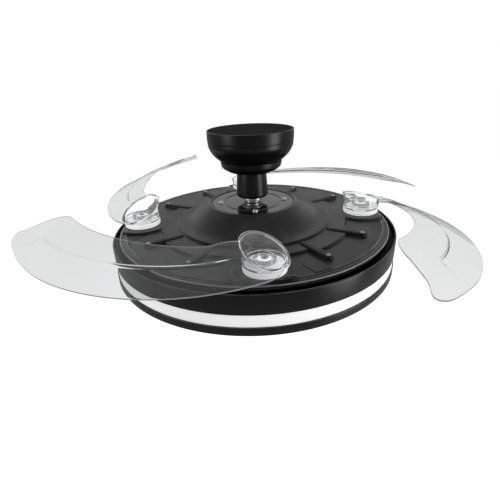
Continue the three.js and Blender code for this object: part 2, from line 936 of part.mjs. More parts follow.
function bladeWithCup() {
  const centreRim = rimPlane(0, 0);
  const cupTop = centreRim + 40;
  const cup = turned([
    [0, cupBottomZ],
    [hubRadius, cupBottomZ],
    [hubRadius + cupFlare, cupTop],
    [0, cupTop],
  ], medium);
  const above = sheared(disc(90, centreRim, centreRim + 90, small));
  const flange = sheared(disc(rimFlange, centreRim - bladeThickness, centreRim - 0.02, medium));
  const inner = hubRadius - cupWall;
  const cavity = turned([
    [0, cupFloorZ],
    [inner, cupFloorZ],
    [inner + cupFlare, cupTop + 60],
    [0, cupTop + 60],
  ], medium);
  const body = join([cut(cup, [above]), flange, bladePlate()]);
  const bushHole = disc(bore(bushRadius, small), cupBottomZ - cutOver, cupFloorZ + cutOver, small);
  return cut(body, [cavity, bushHole]);
}

// points of a torsion spring: a straight leg, the coil, and a leg that leaves it sideways
function springPoints() {
  const base = cupFloorZ + springWire + seatGap;
  const points = [new THREE.Vector3(springCoil, -springLeg, base)];
  const count = Math.round(springTurns * curlSteps);
  for (let i = 0; i <= count; i += 1) {
    const angle = (i / curlSteps) * Math.PI * 2;
    const height = base + (springPitch * i) / curlSteps;
    points.push(new THREE.Vector3(springCoil * Math.cos(angle), springCoil * Math.sin(angle), height));
  }
  const last = (count / curlSteps) * Math.PI * 2;
  const end = points[points.length - 1].clone();
  points.push(end.add(new THREE.Vector3(-Math.sin(last), Math.cos(last), 0).multiplyScalar(springLeg)));
  return points;
}

// one unbroken tube through the points, with a flat cap at each end
function curl(points, radius, sides) {
  const up = new THREE.Vector3(0, 0, 1);
  const position = [];
  points.forEach((point, i) => {
    const before = points[Math.max(i - 1, 0)];
    const after = points[Math.min(i + 1, points.length - 1)];
    const forward = after.clone().sub(before).normalize();
    const across = forward.clone().cross(up).normalize();
    const above = across.clone().cross(forward);
    for (let k = 0; k < sides; k += 1) {
      const angle = (k / sides) * Math.PI * 2;
      const offset = across.clone().multiplyScalar(radius * Math.cos(angle));
      offset.addScaledVector(above, radius * Math.sin(angle)).add(point);
      position.push(offset.x, offset.y, offset.z);
    }
  });
  const index = [];
  for (let i = 0; i < points.length - 1; i += 1) {
    for (let k = 0; k < sides; k += 1) {
      const a = i * sides + k;
      const b = i * sides + ((k + 1) % sides);
      index.push(a, b, a + sides, b, b + sides, a + sides);
    }
  }
  const end = (points.length - 1) * sides;
  for (let k = 1; k < sides - 1; k += 1) {
    index.push(0, k + 1, k, end, end + k, end + k + 1);
  }
  const geometry = new THREE.BufferGeometry();
  geometry.setAttribute('position', new THREE.Float32BufferAttribute(position, 3));
  geometry.setIndex(index);
  return geometry;
}

// least space between two turns of the wire, on points a half turn or more apart
function leastSelfGap(points, radius) {
  const apart = curlSteps / 2;
  let least = Infinity;
  points.forEach((point, i) => {
    points.slice(i + apart).forEach((other) => {
      least = Math.min(least, point.distanceTo(other) - 2 * radius);
    });
  });
  return least;
}

function hubParts() {
  const seat = cut(disc(hubRadius, seatBottomZ, seatTopZ, medium), [
    disc(boltRadius + seatGap, seatBottomZ - cutOver, seatTopZ + cutOver, tiny),
  ]);
  const bush = cut(disc(bushRadius, seatTopZ + seatGap, bushTopZ, small), [
    disc(boltRadius + seatGap, seatTopZ - cutOver, bushTopZ + cutOver, tiny),
  ]);
  const headZ = bushTopZ + seatGap;
  const bolt = turned([
    [0, floorZ - trayThickness - boltTail],
    [boltRadius, floorZ - trayThickness - boltTail],
    [boltRadius, headZ],
    [boltHeadRadius, headZ],
    [boltHeadRadius, headZ + boltHeadEase],
    [boltHeadRadius - 1.1, headZ + boltHeadHeight],
    [0, headZ + boltHeadHeight],
  ], tiny);
  const blade = bladeWithCup();
  const rests = [frontRest, rightRest, backRest, leftRest];
  const coil = springPoints();
  const spring = welded(curl(coil, springWire, curlSides));
  console.log(`return spring: least gap to itself ${leastSelfGap(coil, springWire).toFixed(2)} mm`);
  for (let index = 0; index < bladeCount; index += 1) {
    const name = index + 1;
    add(`blade_${name}`, atHub(turnedTo(blade, rests[index]), index), looks.clear);
    add(`pivot_seat_${name}`, atHub(seat, index), looks.frosted);
    add(`pivot_bush_${name}`, atHub(bush, index), looks.plastic);
    add(`pivot_bolt_${name}`, atHub(bolt, index), looks.chrome);
    add(`return_spring_${name}`, atHub(spring, index), looks.steel);
  }
}

// light body ----------------------------------------------------------

function upperRing() {
  const inner = bodyRadius - ringWall;
  const ledgeInner = inner - ledgeWidth;
  const bottom = upperRingBottomZ + seatGap;
  const profile = [
    [inner, ringTopZ],
    [bodyRadius - ringEase, ringTopZ],
    [bodyRadius, ringTopZ - ringEaseDrop],
    [bodyRadius, bottom],
    [inner, bottom],
    [inner, ledgeZ - ledgeThickness],
    [ledgeInner, ledgeZ - ledgeThickness],
    [ledgeInner, ledgeZ],
    [inner, ledgeZ],
    [inner, ringTopZ],
  ];
  add('upper_ring', turned(profile, wide), looks.satinBlack);
}

function lightBand() {
  const outer = bodyRadius - ringEase;
  const top = upperRingBottomZ;
  const bottom = lightBottomZ;
  const profile = [
    [outer - ringWall, bottom],
    [outer, bottom],
    [outer, top],
    [outer - ringWall, top],
    [outer - ringWall, bottom],
  ];
  add('light_band', turned(profile, wide), looks.opal);
}

function lowerRing() {
  const outer = bodyRadius + lowerRingStep;
  const top = lightBottomZ - seatGap;
  const inner = outer - ringWall;
  const lip = inner - lowerRingLip;
  const profile = [
    [lip, bodyBottomZ],
    [outer - lowerRingSheet, bodyBottomZ],
    [outer, bodyBottomZ + lowerRingSheet],
    [outer, top],
    [inner, top],
    [inner, bodyBottomZ + lowerRingSheet],
    [lip, bodyBottomZ + lowerRingSheet],
    [lip, bodyBottomZ],
  ];
  add('lower_ring', turned(profile, wide), looks.satinBlack);
}

function chassisPan() {
  const top = ledgeZ + seatGap + panSheet;
  const flange = bodyRadius - ringWall - seatGap;
  const wall = bodyRadius - ringWall - ledgeWidth - 2 * seatGap;
  const floorTop = ledgeZ - panDepth;
  const profile = [
    [bore(shaftRadius, medium), floorTop - panSheet],
    [wall, floorTop - panSheet],
    [wall, top - panSheet],
    [flange, top - panSheet],
    [flange, top],
    [wall - panSheet, top],
    [wall - panSheet, floorTop],
    [bore(shaftRadius, medium), floorTop],
    [bore(shaftRadius, medium), floorTop - panSheet],
  ];
  add('chassis_pan', turned(profile, wide), looks.zinc);
}

function chassisNut() {
  const top = ledgeZ - panDepth - panSheet - seatGap;
  const hexagon = disc(nutRadius, top - nutHeight, top, 6);
  const hole = disc(bore(shaftRadius, medium), top - nutHeight - cutOver, top + cutOver, medium);
  add('chassis_nut', cut(hexagon, [hole]), looks.zinc);
}

function lightParts() {
  const boardTop = ledgeZ - panDepth - panSheet - seatGap;
  const board = ring(boardHole, bodyRadius - boardInset, boardTop - boardThickness, boardTop, medium);
  add('led_board', board, looks.board);
  const wall = bodyRadius + lowerRingStep - ringWall - seatGap;
  const bottom = bodyBottomZ + lowerRingSheet + seatGap;
  add('bottom_diffuser', disc(wall, bottom, bottom + diffuserThickness, wide), looks.opal);
}

function driverBox() {
  const bottom = ledgeZ - panDepth + seatGap;
  const half = driverHalf;
  const deep = driverDeep;
  const corner = driverCorner;
  const outline = new THREE.Shape();
  outline.moveTo(-half + corner, -deep);
  outline.lineTo(half - corner, -deep);
  outline.absarc(half - corner, -deep + corner, corner, -Math.PI / 2, 0, false);
  outline.lineTo(half, deep - corner);
  outline.absarc(half - corner, deep - corner, corner, 0, Math.PI / 2, false);
  outline.lineTo(-half + corner, deep);
  outline.absarc(-half + corner, deep - corner, corner, Math.PI / 2, Math.PI, false);
  outline.lineTo(-half, -deep + corner);
  outline.absarc(-half + corner, -deep + corner, corner, Math.PI, Math.PI * 1.5, false);
  const block = raised(outline, bottom, bottom + panDepth - driverClearance, 4);
  block.translate(0, driverCircle, 0);
  add('driver_box', welded(block), looks.plastic);
}

ceilingPlate();
hangerBracket();
bracketScrews();
hangerBall();
downrod();
crossPins();
canopyBand();
canopyBowl();
canopyTrim();
couplingCover();
motorYoke();
shaftCollar();
motorShaft();
rotorShell();
rotorEndPlate();
bearings();
statorParts();
bladeTray();
rotorCap();
capScrews();
hubParts();
upperRing();
lightBand();
lowerRing();
chassisPan();
chassisNut();
lightParts();
driverBox();

export default group;
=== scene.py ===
import json
import math
import bmesh
import bpy
import numpy as np
from mathutils import Matrix, Vector

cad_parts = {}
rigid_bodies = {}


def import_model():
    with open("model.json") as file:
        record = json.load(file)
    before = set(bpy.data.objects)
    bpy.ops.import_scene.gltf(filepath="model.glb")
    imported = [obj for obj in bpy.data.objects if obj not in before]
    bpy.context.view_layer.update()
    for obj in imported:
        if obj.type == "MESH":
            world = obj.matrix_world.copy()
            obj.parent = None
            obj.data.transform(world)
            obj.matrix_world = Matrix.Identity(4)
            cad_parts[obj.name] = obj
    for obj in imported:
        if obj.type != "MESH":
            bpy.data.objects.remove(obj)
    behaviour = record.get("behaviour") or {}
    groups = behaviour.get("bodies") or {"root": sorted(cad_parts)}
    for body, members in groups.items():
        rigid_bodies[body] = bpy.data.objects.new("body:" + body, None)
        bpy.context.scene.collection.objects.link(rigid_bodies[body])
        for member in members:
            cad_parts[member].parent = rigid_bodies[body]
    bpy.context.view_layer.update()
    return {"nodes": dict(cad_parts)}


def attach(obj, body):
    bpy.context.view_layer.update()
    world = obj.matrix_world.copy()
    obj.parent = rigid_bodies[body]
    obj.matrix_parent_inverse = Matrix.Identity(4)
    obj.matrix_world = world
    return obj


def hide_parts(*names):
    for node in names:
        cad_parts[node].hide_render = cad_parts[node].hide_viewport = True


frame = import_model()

nodes = frame["nodes"]
mm = 0.001

# heights and circles that several pieces share, in millimetres below the ceiling
fan = {
    "domeTopZ": -125.5,
    "floorZ": -159.0,
    "ringTopZ": -166.5,
    "bandTopZ": -198.1,
    "bandBottomZ": -217.3,
    "bottomZ": -230.3,
    "hubCircle": 201.3,
    "quarterTurn": 3.8,
    "cupBottomZ": -148.4,
    "cupFloorZ": -146.2,
}
restTurns = [0.0, 3.4, -22.0, -1.0]      # how far each blade stands open at rest: front, right, back, left
bladeBodies = ["blade_front", "blade_right", "blade_back", "blade_left"]


# meshes from arrays

def gridFaces(rows, cols, loopRows=False, loopCols=False):
    # quads between the neighbours of a rows x cols grid of points
    i, j = np.meshgrid(np.arange(rows if loopRows else rows - 1),
                       np.arange(cols if loopCols else cols - 1), indexing="ij")
    a = i * cols + j
    b = i * cols + (j + 1) % cols
    c = ((i + 1) % rows) * cols + (j + 1) % cols
    d = ((i + 1) % rows) * cols + j
    return np.stack([a, b, c, d], -1).reshape(-1, 4)


def addMesh(name, points, faces, creaseAngle=32, merge=True):
    mesh = bpy.data.meshes.new(name)
    mesh.from_pydata((np.asarray(points, float).reshape(-1, 3) * mm).tolist(), [], np.asarray(faces).tolist())
    if merge:                            # closes seams and poles, and turns every face outward
        work = bmesh.new()
        work.from_mesh(mesh)
        bmesh.ops.remove_doubles(work, verts=work.verts, dist=2e-6)
        bmesh.ops.recalc_face_normals(work, faces=work.faces)
        work.to_mesh(mesh)
        work.free()
    mesh.polygons.foreach_set("use_smooth", np.ones(len(mesh.polygons), bool))
    mesh.set_sharp_from_angle(angle=math.radians(creaseAngle))
    piece = bpy.data.objects.new(name, mesh)
    bpy.context.scene.collection.objects.link(piece)
    return piece


def softened(corners, closed=True, steps=6):
    # every corner (radius, height, ease) becomes a parabola that leaves and meets its two sides `ease` away
    c = np.array(corners, float)
    p, ease = c[:, :2], c[:, 2:3].copy()
    if not closed:
        ease[0] = ease[-1] = 0
    back = np.roll(p, 1, 0) - p
    ahead = np.roll(p, -1, 0) - p
    backLong = np.linalg.norm(back, axis=1, keepdims=True) + 1e-9
    aheadLong = np.linalg.norm(ahead, axis=1, keepdims=True) + 1e-9
    a = p + back / backLong * np.minimum(ease, backLong / 2)
    b = p + ahead / aheadLong * np.minimum(ease, aheadLong / 2)
    t = np.linspace(0, 1, steps)[None, :, None]
    curve = (1 - t) ** 2 * a[:, None] + 2 * t * (1 - t) * p[:, None] + t ** 2 * b[:, None]
    return curve.reshape(-1, 2)


def turned(name, shape, hub=None):
    # the shape's corners, eased and carried once round the Z axis, or round the axis of a hub:
    # x = radius * cos(angle), y = radius * sin(angle), z = height; an open shape ends on the axis
    closed, segments = shape.get("closed", True), shape["segments"]
    profile = softened(shape["corners"], closed)
    angle = np.linspace(0, 2 * np.pi, segments, endpoint=False)
    r, z = profile[:, 0:1], profile[:, 1:2]
    points = np.stack([r * np.cos(angle), r * np.sin(angle), z + 0 * angle], -1)
    if hub is not None:
        points = atHub(points, hub)
    return addMesh(name, points, gridFaces(len(profile), segments, closed, True))


def smoothStep(value):
    # 0 below 0, 1 above 1, and 3 t^2 - 2 t^3 between
    t = np.clip(value, 0, 1)
    return t * t * (3 - 2 * t)


def spun(points, degrees):
    # turned about the Z axis: x * cos - y * sin, x * sin + y * cos, z
    cos, sin = math.cos(math.radians(degrees)), math.sin(math.radians(degrees))
    x, y, z = points[..., 0], points[..., 1], points[..., 2]
    return np.stack([x * cos - y * sin, x * sin + y * cos, z], -1)


def atHub(points, index, opened=0.0):
    # from the hub's own frame, X along the blade and Y outward, to the fan's frame
    moved = spun(points, opened) + np.array([0, fan["hubCircle"], 0])
    return spun(moved, fan["quarterTurn"] - 180 + index * 90)


def finishPiece(piece, body, material, slot, *replaced):
    # gives a piece its material and the body that it rides on, and hides the CAD nodes that it stands for;
    # slot is not used
    piece.data.materials.append(material)
    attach(piece, body)
    if replaced:
        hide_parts(*replaced)


# materials: a socket that Python's signs work on, and one method for every node

class Sock:
    def __init__(self, graph, socket):
        self.graph, self.socket = graph, socket

    def __add__(self, other): return self.graph.math("ADD", self, other)
    def __radd__(self, other): return self.graph.math("ADD", other, self)
    def __sub__(self, other): return self.graph.math("SUBTRACT", self, other)
    def __rsub__(self, other): return self.graph.math("SUBTRACT", other, self)
    def __mul__(self, other): return self.graph.math("MULTIPLY", self, other)
    def __rmul__(self, other): return self.graph.math("MULTIPLY", other, self)
    def __truediv__(self, other): return self.graph.math("DIVIDE", self, other)
    def __rtruediv__(self, other): return self.graph.math("DIVIDE", other, self)


class Graph:
    # the nodes of one material or of the world
    def __init__(self, tree):
        self.tree = tree

    def put(self, target, value):
        if isinstance(value, Sock):
            self.tree.links.new(value.socket, target)
        elif target.type == "RGBA" and len(value) == 3:
            target.default_value = (*value, 1)
        else:
            target.default_value = value

    def node(self, kind, settings=None, inputs=None, output=0):
        made = self.tree.nodes.new(kind)
        for key, value in (settings or {}).items():
            setattr(made, key, value)
        for key, value in (inputs or {}).items():
            self.put(made.inputs[key], value)
        return Sock(self, made.outputs[output])

    def several(self, kind, inputs, outputs):
        made = self.node(kind, None, inputs).socket.node
        return [Sock(self, made.outputs[key]) for key in outputs]

    def math(self, operation, first, second=0.0):
        return self.node("ShaderNodeMath", {"operation": operation}, {0: first, 1: second})

    def ranged(self, value, low, high, toLow, toHigh):
        return self.node("ShaderNodeMapRange", {"clamp": True},
                         {0: value, 1: low, 2: high, 3: toLow, 4: toHigh})

    def eased(self, value, low, high):
        return self.node("ShaderNodeMapRange", {"interpolation_type": "SMOOTHSTEP"},
                         {0: value, 1: low, 2: high})

    def rays(self):
        # what the camera sees, what is only mirrored, and what is seen through something clear
        seen, glossy, through = self.several("ShaderNodeLightPath", {},
                                             ["Is Camera Ray", "Is Glossy Ray", "Is Transmission Ray"])
        return seen, self.math("MAXIMUM", glossy - through, 0.0), through


class Finish(Graph):
    def __init__(self, name, **shader):
        self.material = bpy.data.materials.new(name)
        self.material.use_nodes = True
        super().__init__(self.material.node_tree)
        self.bsdf = self.tree.nodes["Principled BSDF"]
        self.out = self.tree.nodes["Material Output"]
        for key, value in shader.items():
            self.put(self.bsdf.inputs[key.replace("_", " ")], value)

    def place(self):
        return self.node("ShaderNodeTexCoord", output="Object")

    def axes(self):
        return self.several("ShaderNodeSeparateXYZ", {0: self.place()}, range(3))

    def upward(self):
        normal = self.node("ShaderNodeNewGeometry", output="Normal")
        return self.node("ShaderNodeSeparateXYZ", None, {0: normal}, output=2)

    def noise(self, scale, detail, rough):
        return self.node("ShaderNodeTexNoise", None,
                         {"Vector": self.place(), "Scale": scale, "Detail": detail, "Roughness": rough})

    def strip(self, value, low, high, soft=0.0003):
        # 1 between low and high, 0 outside, with soft ends
        return self.ranged(value, low - soft, low + soft, 0, 1) \
            * self.ranged(value, high - soft, high + soft, 1, 0)

    def blend(self, share, first, second):
        return self.node("ShaderNodeMix", {"data_type": "RGBA"}, {0: share, 6: first, 7: second}, output=2)

    def clouded(self, share, shade, low, high):
        # the shade, a little darker where share is 0 and lighter where it is 1
        return self.blend(share, tuple(low * s for s in shade), tuple(min(high * s, 1.0) for s in shade))

    def color(self, value): self.put(self.bsdf.inputs["Base Color"], value)
    def rough(self, value): self.put(self.bsdf.inputs["Roughness"], value)

    def bump(self, height, strength, distance):
        raised = self.node("ShaderNodeBump", None,
                           {"Strength": strength, "Distance": distance, "Height": height})
        self.put(self.bsdf.inputs["Normal"], raised)


dustAndHighlightGrey = (0.3, 0.3, 0.31)


def blackPlastic(name, shade, rough, grain, dustAndSheen, shine=0.5, highlightR=0.0):
    # moulded black with a fine grain, slow changes of gloss and a veil of grey on what faces up: thin dust on
    # most pieces, but on the ring a painted highlight on its top faces; the last argument gives the radius of
    # a thin painted highlight ring
    f = Finish(name, Specular_IOR_Level=shine)
    slow = f.noise(14, 4, 0.55)
    fine = f.noise(900, 2, 0.6)
    # grey on what faces up: dust where weak, a painted highlight where strong
    dustAndSheenVeil = f.ranged(f.upward(), 0.2, 1.0, 0.0, dustAndSheen) * f.ranged(f.noise(60, 5, 0.7), 0.35, 0.75, 0.3, 1.0)
    body = f.clouded(slow, shade, 0.85, 1.15)
    # painted highlight: a thin bright ring on the circle of the given radius
    if highlightR:
        x, y, z = f.axes()
        reach = f.math("SQRT", x * x + y * y)
        body = f.blend(f.strip(reach, highlightR - 0.0003, highlightR + 0.0003) * 0.5, body, dustAndHighlightGrey)
    f.color(f.blend(dustAndSheenVeil, body, dustAndHighlightGrey))
    f.rough(f.ranged(slow, 0.3, 0.7, rough - 0.05, rough + 0.06) + dustAndSheenVeil * 0.4)
    f.bump(fine, grain, 0.0002)
    return f.material


def metal(name, shade, rough, streak):
    # bright metal with faint turned lines and soft spots
    f = Finish(name, Metallic=1.0)
    cloud = f.noise(90, 4, 0.6)
    x, y, z = f.axes()
    lines = f.node("ShaderNodeTexNoise", {"noise_dimensions": "1D"},
                   {"W": z * 2600.0, "Scale": 1.0, "Detail": 2.0})
    f.color(f.clouded(cloud, shade, 0.9, 1.0))
    f.rough(f.ranged(cloud, 0.35, 0.7, rough, rough + 0.08) + lines * streak)
    f.bump(lines, 0.15 + streak, 0.00005)
    return f.material


def whitePlastic(name, shade, rough, glow=0.0):
    # moulded white with a slow cloud in it; glow is painted light, an emission that brightens it though it is
    # no lamp
    f = Finish(name, Emission_Color=(1, 1, 1), Emission_Strength=glow)
    slow = f.noise(25, 3, 0.5)
    fine = f.noise(1400, 2, 0.5)
    f.color(f.clouded(slow, shade, 0.975, 1.0))
    f.rough(f.ranged(slow, 0.3, 0.7, rough - 0.04, rough + 0.06))
    f.bump(fine, 0.06, 0.0002)
    return f.material


def clearPlastic(name, tint, rough, glow=0.0):
    # solid clear plastic: light bends at each face, with slow changes of the moulding and faint marks of
    # wiping;
    # glow is painted light, an emission that brightens the sheet, strongest on the blades' edges
    f = Finish(name, IOR=1.52, Specular_IOR_Level=0.4, Transmission_Weight=1.0,
               Emission_Color=(1, 1, 1), Emission_Strength=glow)
    marks = f.ranged(f.noise(70, 5, 0.7), 0.55, 0.8, 0.0, 1.0)
    f.color(f.clouded(f.noise(9, 2, 0.5), tint, 0.95, 1.03))
    f.rough(marks * 0.03 + rough)
    return f.material


slit = {"turn": 16, "inner": 196, "outer": 225, "slant": 0.2, "width": 2.1, "footWidth": 2.8, "foot": 27}
trayMarks = {                            # radii in metres: from, to and how much for the painted shade on steps and the painted highlight rings
    "steepShadeFrom": 0.129, "steepShadeTo": 0.131, "rimFrom": 0.2245, "rimTo": 0.226,
    "domeHighlight": (0.0767, 0.0777, 0.35), "beadHighlight": (0.2269, 0.2278, 0.35), "edgeHighlight": (0.2364, 0.24, 0.7),
}


def slitGap(f, reach, angle):
    # 1 inside four L-shaped slits: a leaning leg, and a foot that follows the rim
    quarter = math.pi / 2
    turn = angle - f.math("ROUND", angle / quarter) * quarter - math.radians(slit["turn"])
    along = reach * f.math("COSINE", turn)
    side = reach * f.math("SINE", turn) - (along - slit["inner"] * mm) * slit["slant"]
    half = slit["width"] / 2 * mm
    leg = f.strip(side, -half, half) * f.strip(along, slit["inner"] * mm, slit["outer"] * mm)
    footIn = (slit["outer"] - slit["footWidth"]) * mm
    foot = f.strip(side, -half, slit["foot"] * mm) * f.strip(reach, footIn, slit["outer"] * mm)
    return f.math("MAXIMUM", leg, foot)


def trayBlack(name, shade, rough):
    # painted sheet: painted shade on steep steps, painted highlight rings at the dome ridge, the bead and the
    # edge, near-black painted shade in the slits, smoother toward the rim
    f = Finish(name, Specular_IOR_Level=0.35)
    marks = trayMarks
    x, y, z = f.axes()
    reach = f.math("SQRT", x * x + y * y)
    shadedSlit = slitGap(f, reach, f.math("ARCTAN2", y, x) - math.radians(fan["quarterTurn"]))
    slow = f.noise(12, 4, 0.55)
    fine = f.noise(800, 2, 0.6)
    rub = f.ranged(f.noise(35, 6, 0.7), 0.5, 0.8, 0.0, 1.0)
    # painted shade: steep slopes past the shelf darkened nearly to black
    steepShade = f.ranged(f.upward(), 0.99, 0.93, 0, 1) \
        * f.ranged(reach, marks["steepShadeFrom"], marks["steepShadeTo"], 0, 1)
    outward = f.ranged(reach, marks["rimFrom"], marks["rimTo"], 0, 1)
    # painted highlights: thin bright rings at the dome ridge, the bead and the tray's edge
    lines = [f.strip(reach, low, high) * share
             for low, high, share in (marks["domeHighlight"], marks["beadHighlight"], marks["edgeHighlight"])]
    body = f.blend(steepShade, f.clouded(slow, shade, 0.85, 1.15), (0.0012, 0.0012, 0.0012))
    body = f.blend(lines[0] + lines[1] + lines[2], body, dustAndHighlightGrey)
    # painted shade: the slits near black
    f.color(f.blend(shadedSlit, f.blend(rub * 0.06, body, dustAndHighlightGrey), (0.001, 0.001, 0.001)))
    base = f.ranged(slow, 0.3, 0.7, rough - 0.04, rough + 0.06)
    f.rough(base + shadedSlit * 0.4 + rub * 0.05 - outward * 0.16 - steepShade * 0.1)
    f.bump(fine * 0.2 - shadedSlit, 0.25, 0.0004)
    return f.material


canopyBlack = blackPlastic("canopyBlack", (0.0022, 0.0022, 0.0025), rough=0.32, grain=0.04, dustAndSheen=0.0,
                           shine=0.28)
plateBlack = blackPlastic("plateBlack", (0.016, 0.016, 0.017), rough=0.8, grain=0.1, dustAndSheen=0.01, shine=0.0)
# its strong grey veil is a painted highlight that lightens the ring's top faces
ringBlack = blackPlastic("ringBlack", (0.002, 0.002, 0.0022), rough=0.28, grain=0.04, dustAndSheen=0.3,
                         shine=0.32)
# near black and matte: painted shade, so the chassis pan seen in the gap between tray and ring shows dark
gapShadeBlack = blackPlastic("gapShadeBlack", (0.003, 0.003, 0.003), rough=0.6, grain=0.05, dustAndSheen=0.0, shine=0.1)
# a painted highlight ring along the edge of the cap's groove
capBlack = blackPlastic("capBlack", (0.006, 0.006, 0.007), rough=0.12, grain=0.02, dustAndSheen=0.003, shine=0.7,
                        highlightR=0.0493)
ribBlack = blackPlastic("ribBlack", (0.003, 0.003, 0.0033), rough=0.36, grain=0.06, dustAndSheen=0.004, shine=0.24)
magnetFinish = blackPlastic("magnet", (0.04, 0.04, 0.045), rough=0.5, grain=0.1, dustAndSheen=0.0)
trayFinish = trayBlack("trayBlack", (0.015, 0.015, 0.016), rough=0.36)
chrome = metal("chrome", (0.88, 0.89, 0.9), rough=0.3, streak=0.02)
steel = metal("steel", (0.62, 0.63, 0.64), rough=0.26, streak=0.06)
zinc = metal("zinc", (0.66, 0.68, 0.71), rough=0.34, streak=0.05)
copperFinish = metal("copper", (0.72, 0.34, 0.17), rough=0.3, streak=0.1)
# frosted and bushWhite glow: painted light that brightens the seats and bushes under the clear cups
frosted = whitePlastic("frosted", (0.9, 0.905, 0.91), rough=0.42, glow=0.38)
innerPlastic = whitePlastic("innerPlastic", (0.82, 0.83, 0.84), rough=0.4)
bushWhite = whitePlastic("bushWhite", (0.82, 0.83, 0.84), rough=0.3, glow=0.3)
# opal glow: painted light that brightens the band and the bottom
opal = whitePlastic("opal", (0.9, 0.9, 0.9), rough=0.32, glow=0.33)
boardWhite = whitePlastic("boardWhite", (0.8, 0.82, 0.8), rough=0.45)
clear = clearPlastic("clearPlastic", (0.735, 0.74, 0.745), rough=0.005)
# clearEdge glow: painted light that makes the blades' edges bright
clearEdge = clearPlastic("clearEdge", (0.87, 0.875, 0.88), rough=0.1, glow=0.22)
clearCup = clearPlastic("clearCup", (0.94, 0.943, 0.946), rough=0.01, glow=0.02)
print("materials made")


# canopy and stem, turned from corners of (radius, height, ease)

canopyPlate = {
    "segments": 144, "closed": False,
    "corners": [(0, -2.5, 0), (70.9, -2.5, 0.3), (70.9, 0, 0.4), (0, 0, 0)],
}
canopyBand = {
    "segments": 144,
    "corners": [(71.1, -18, 0.2), (72.6, -18, 0.4), (73, -15.5, 1.5), (73, 0, 0.5), (71.1, 0, 0.1)],
}
canopyBowl = {
    "segments": 160,
    "corners": [
        (72.3, -18.3, 0.3), (72.5, -20, 1), (71.9, -26, 9), (68.9, -33, 9), (64.8, -39.4, 9),
        (58.6, -45.4, 9), (54.6, -48.4, 0.8), (53.3, -49.8, 0.8), (53.1, -52, 1), (51.9, -59.5, 2),
        (49.5, -62.6, 2.5), (45, -63.9, 0.6), (45, -62.3, 0.2), (49, -60.9, 1.5), (50.2, -58, 1),
        (51.3, -49.4, 0.8), (57.4, -43.9, 5), (63.2, -38.4, 5), (67.2, -32.4, 5), (70.2, -26, 5),
        (70.6, -18.3, 0.3)],
}
canopyTrim = {
    "segments": 144,
    "corners": [
        (30, -69.2, 0.5), (37.5, -69.2, 2.5), (43, -66.6, 2), (46.8, -64, 0.3), (43.2, -63.9, 0.2),
        (36.2, -67.4, 1.5), (30, -67.5, 0.3)],
}
couplingCover = {
    "segments": 128,
    "corners": [
        (16.3, -114.5, 0.3), (25.8, -114.5, 2.2), (28, -111.8, 2.2), (27.85, -108, 1),
        (25.4, -64.5, 0.4), (23.4, -64.5, 0.3), (25.9, -112, 1), (16.3, -112.5, 0.3)],
}
shaftCollar = {
    "segments": 96,
    "corners": [
        (14.9, -120.5, 0.1), (17.7, -120.5, 0.6), (18.3, -119.9, 0.5), (18.3, -118.3, 0.3),
        (17.4, -117.9, 0.3), (17.4, -117.2, 0.3), (18.3, -116.8, 0.3), (18.3, -115.2, 0.4),
        (17.9, -114.8, 0.3), (14.9, -114.8, 0.1)],
}
motorShaft = {
    "segments": 96,
    "corners": [
        (6, -210.5, 0.2), (10, -210.5, 0.5), (10, -125, 0.2), (14.2, -125, 0.4), (14.5, -124.5, 0.3),
        (14.5, -114.8, 0.2), (10, -114.8, 0.2), (10, -104.1, 0.4), (6, -104.1, 0.2)],
}


def hangingPiece(name, shape, material, slot, node):
    # a turned piece of the body that hangs still
    finishPiece(turned(name, shape), "hanging_frame", material, slot, node)


hangingPiece("canopyPlate", canopyPlate, plateBlack, "matte_black_steel", "ceiling_plate")
hangingPiece("canopyBand", canopyBand, canopyBlack, "satin_black", "canopy_band")
hangingPiece("canopyBowl", canopyBowl, canopyBlack, "satin_black", "canopy_bowl")
hangingPiece("canopyTrim", canopyTrim, canopyBlack, "satin_black", "canopy_trim")
hangingPiece("couplingCover", couplingCover, canopyBlack, "satin_black", "coupling_cover")
hangingPiece("shaftCollar", shaftCollar, chrome, "chrome", "shaft_collar")
hangingPiece("motorShaft", motorShaft, chrome, "chrome", "motor_shaft")
print("canopy and stem made")


# tray

tray = {
    "lipR": 63, "capR": 73.3, "topR": 80, "footR": 125, "shelfR": 138, "edgeR": 238,
    "topRise": 33.5, "shelfRise": 5.4, "panelRise": 2.0, "fieldRise": -2.0, "sheet": 1.2,
    "bayR": 176, "padR": 166, "padHalfTurn": 30, "lobeR": 46, "melt": 9.0, "stepWide": 4.4,
    "shelfPast": 2, "shelfWide": 4.0, "slopePower": 1.05,
    "panelEndR": 232.5, "panelEndWide": 3.5, "edgeFromR": 231.5, "edgeWide": 6.0, "edgeDrop": 0.7,
    "ridge": (77.3, 1.5, 1.2), "groove": (81.6, 1.3, -0.9), "bead": (227.5, 1.3, 0.9),
    "skirtR": 236.2, "skirtDrop": 9.5, "columns": 736, "startTurn": 0.3,
}


def rounded(r, shape):
    # a ring-shaped swelling: height x exp(-((radius - its radius) / its width) squared)
    middle, wide, height = shape
    return height * np.exp(-((r - middle) / wide) ** 2)


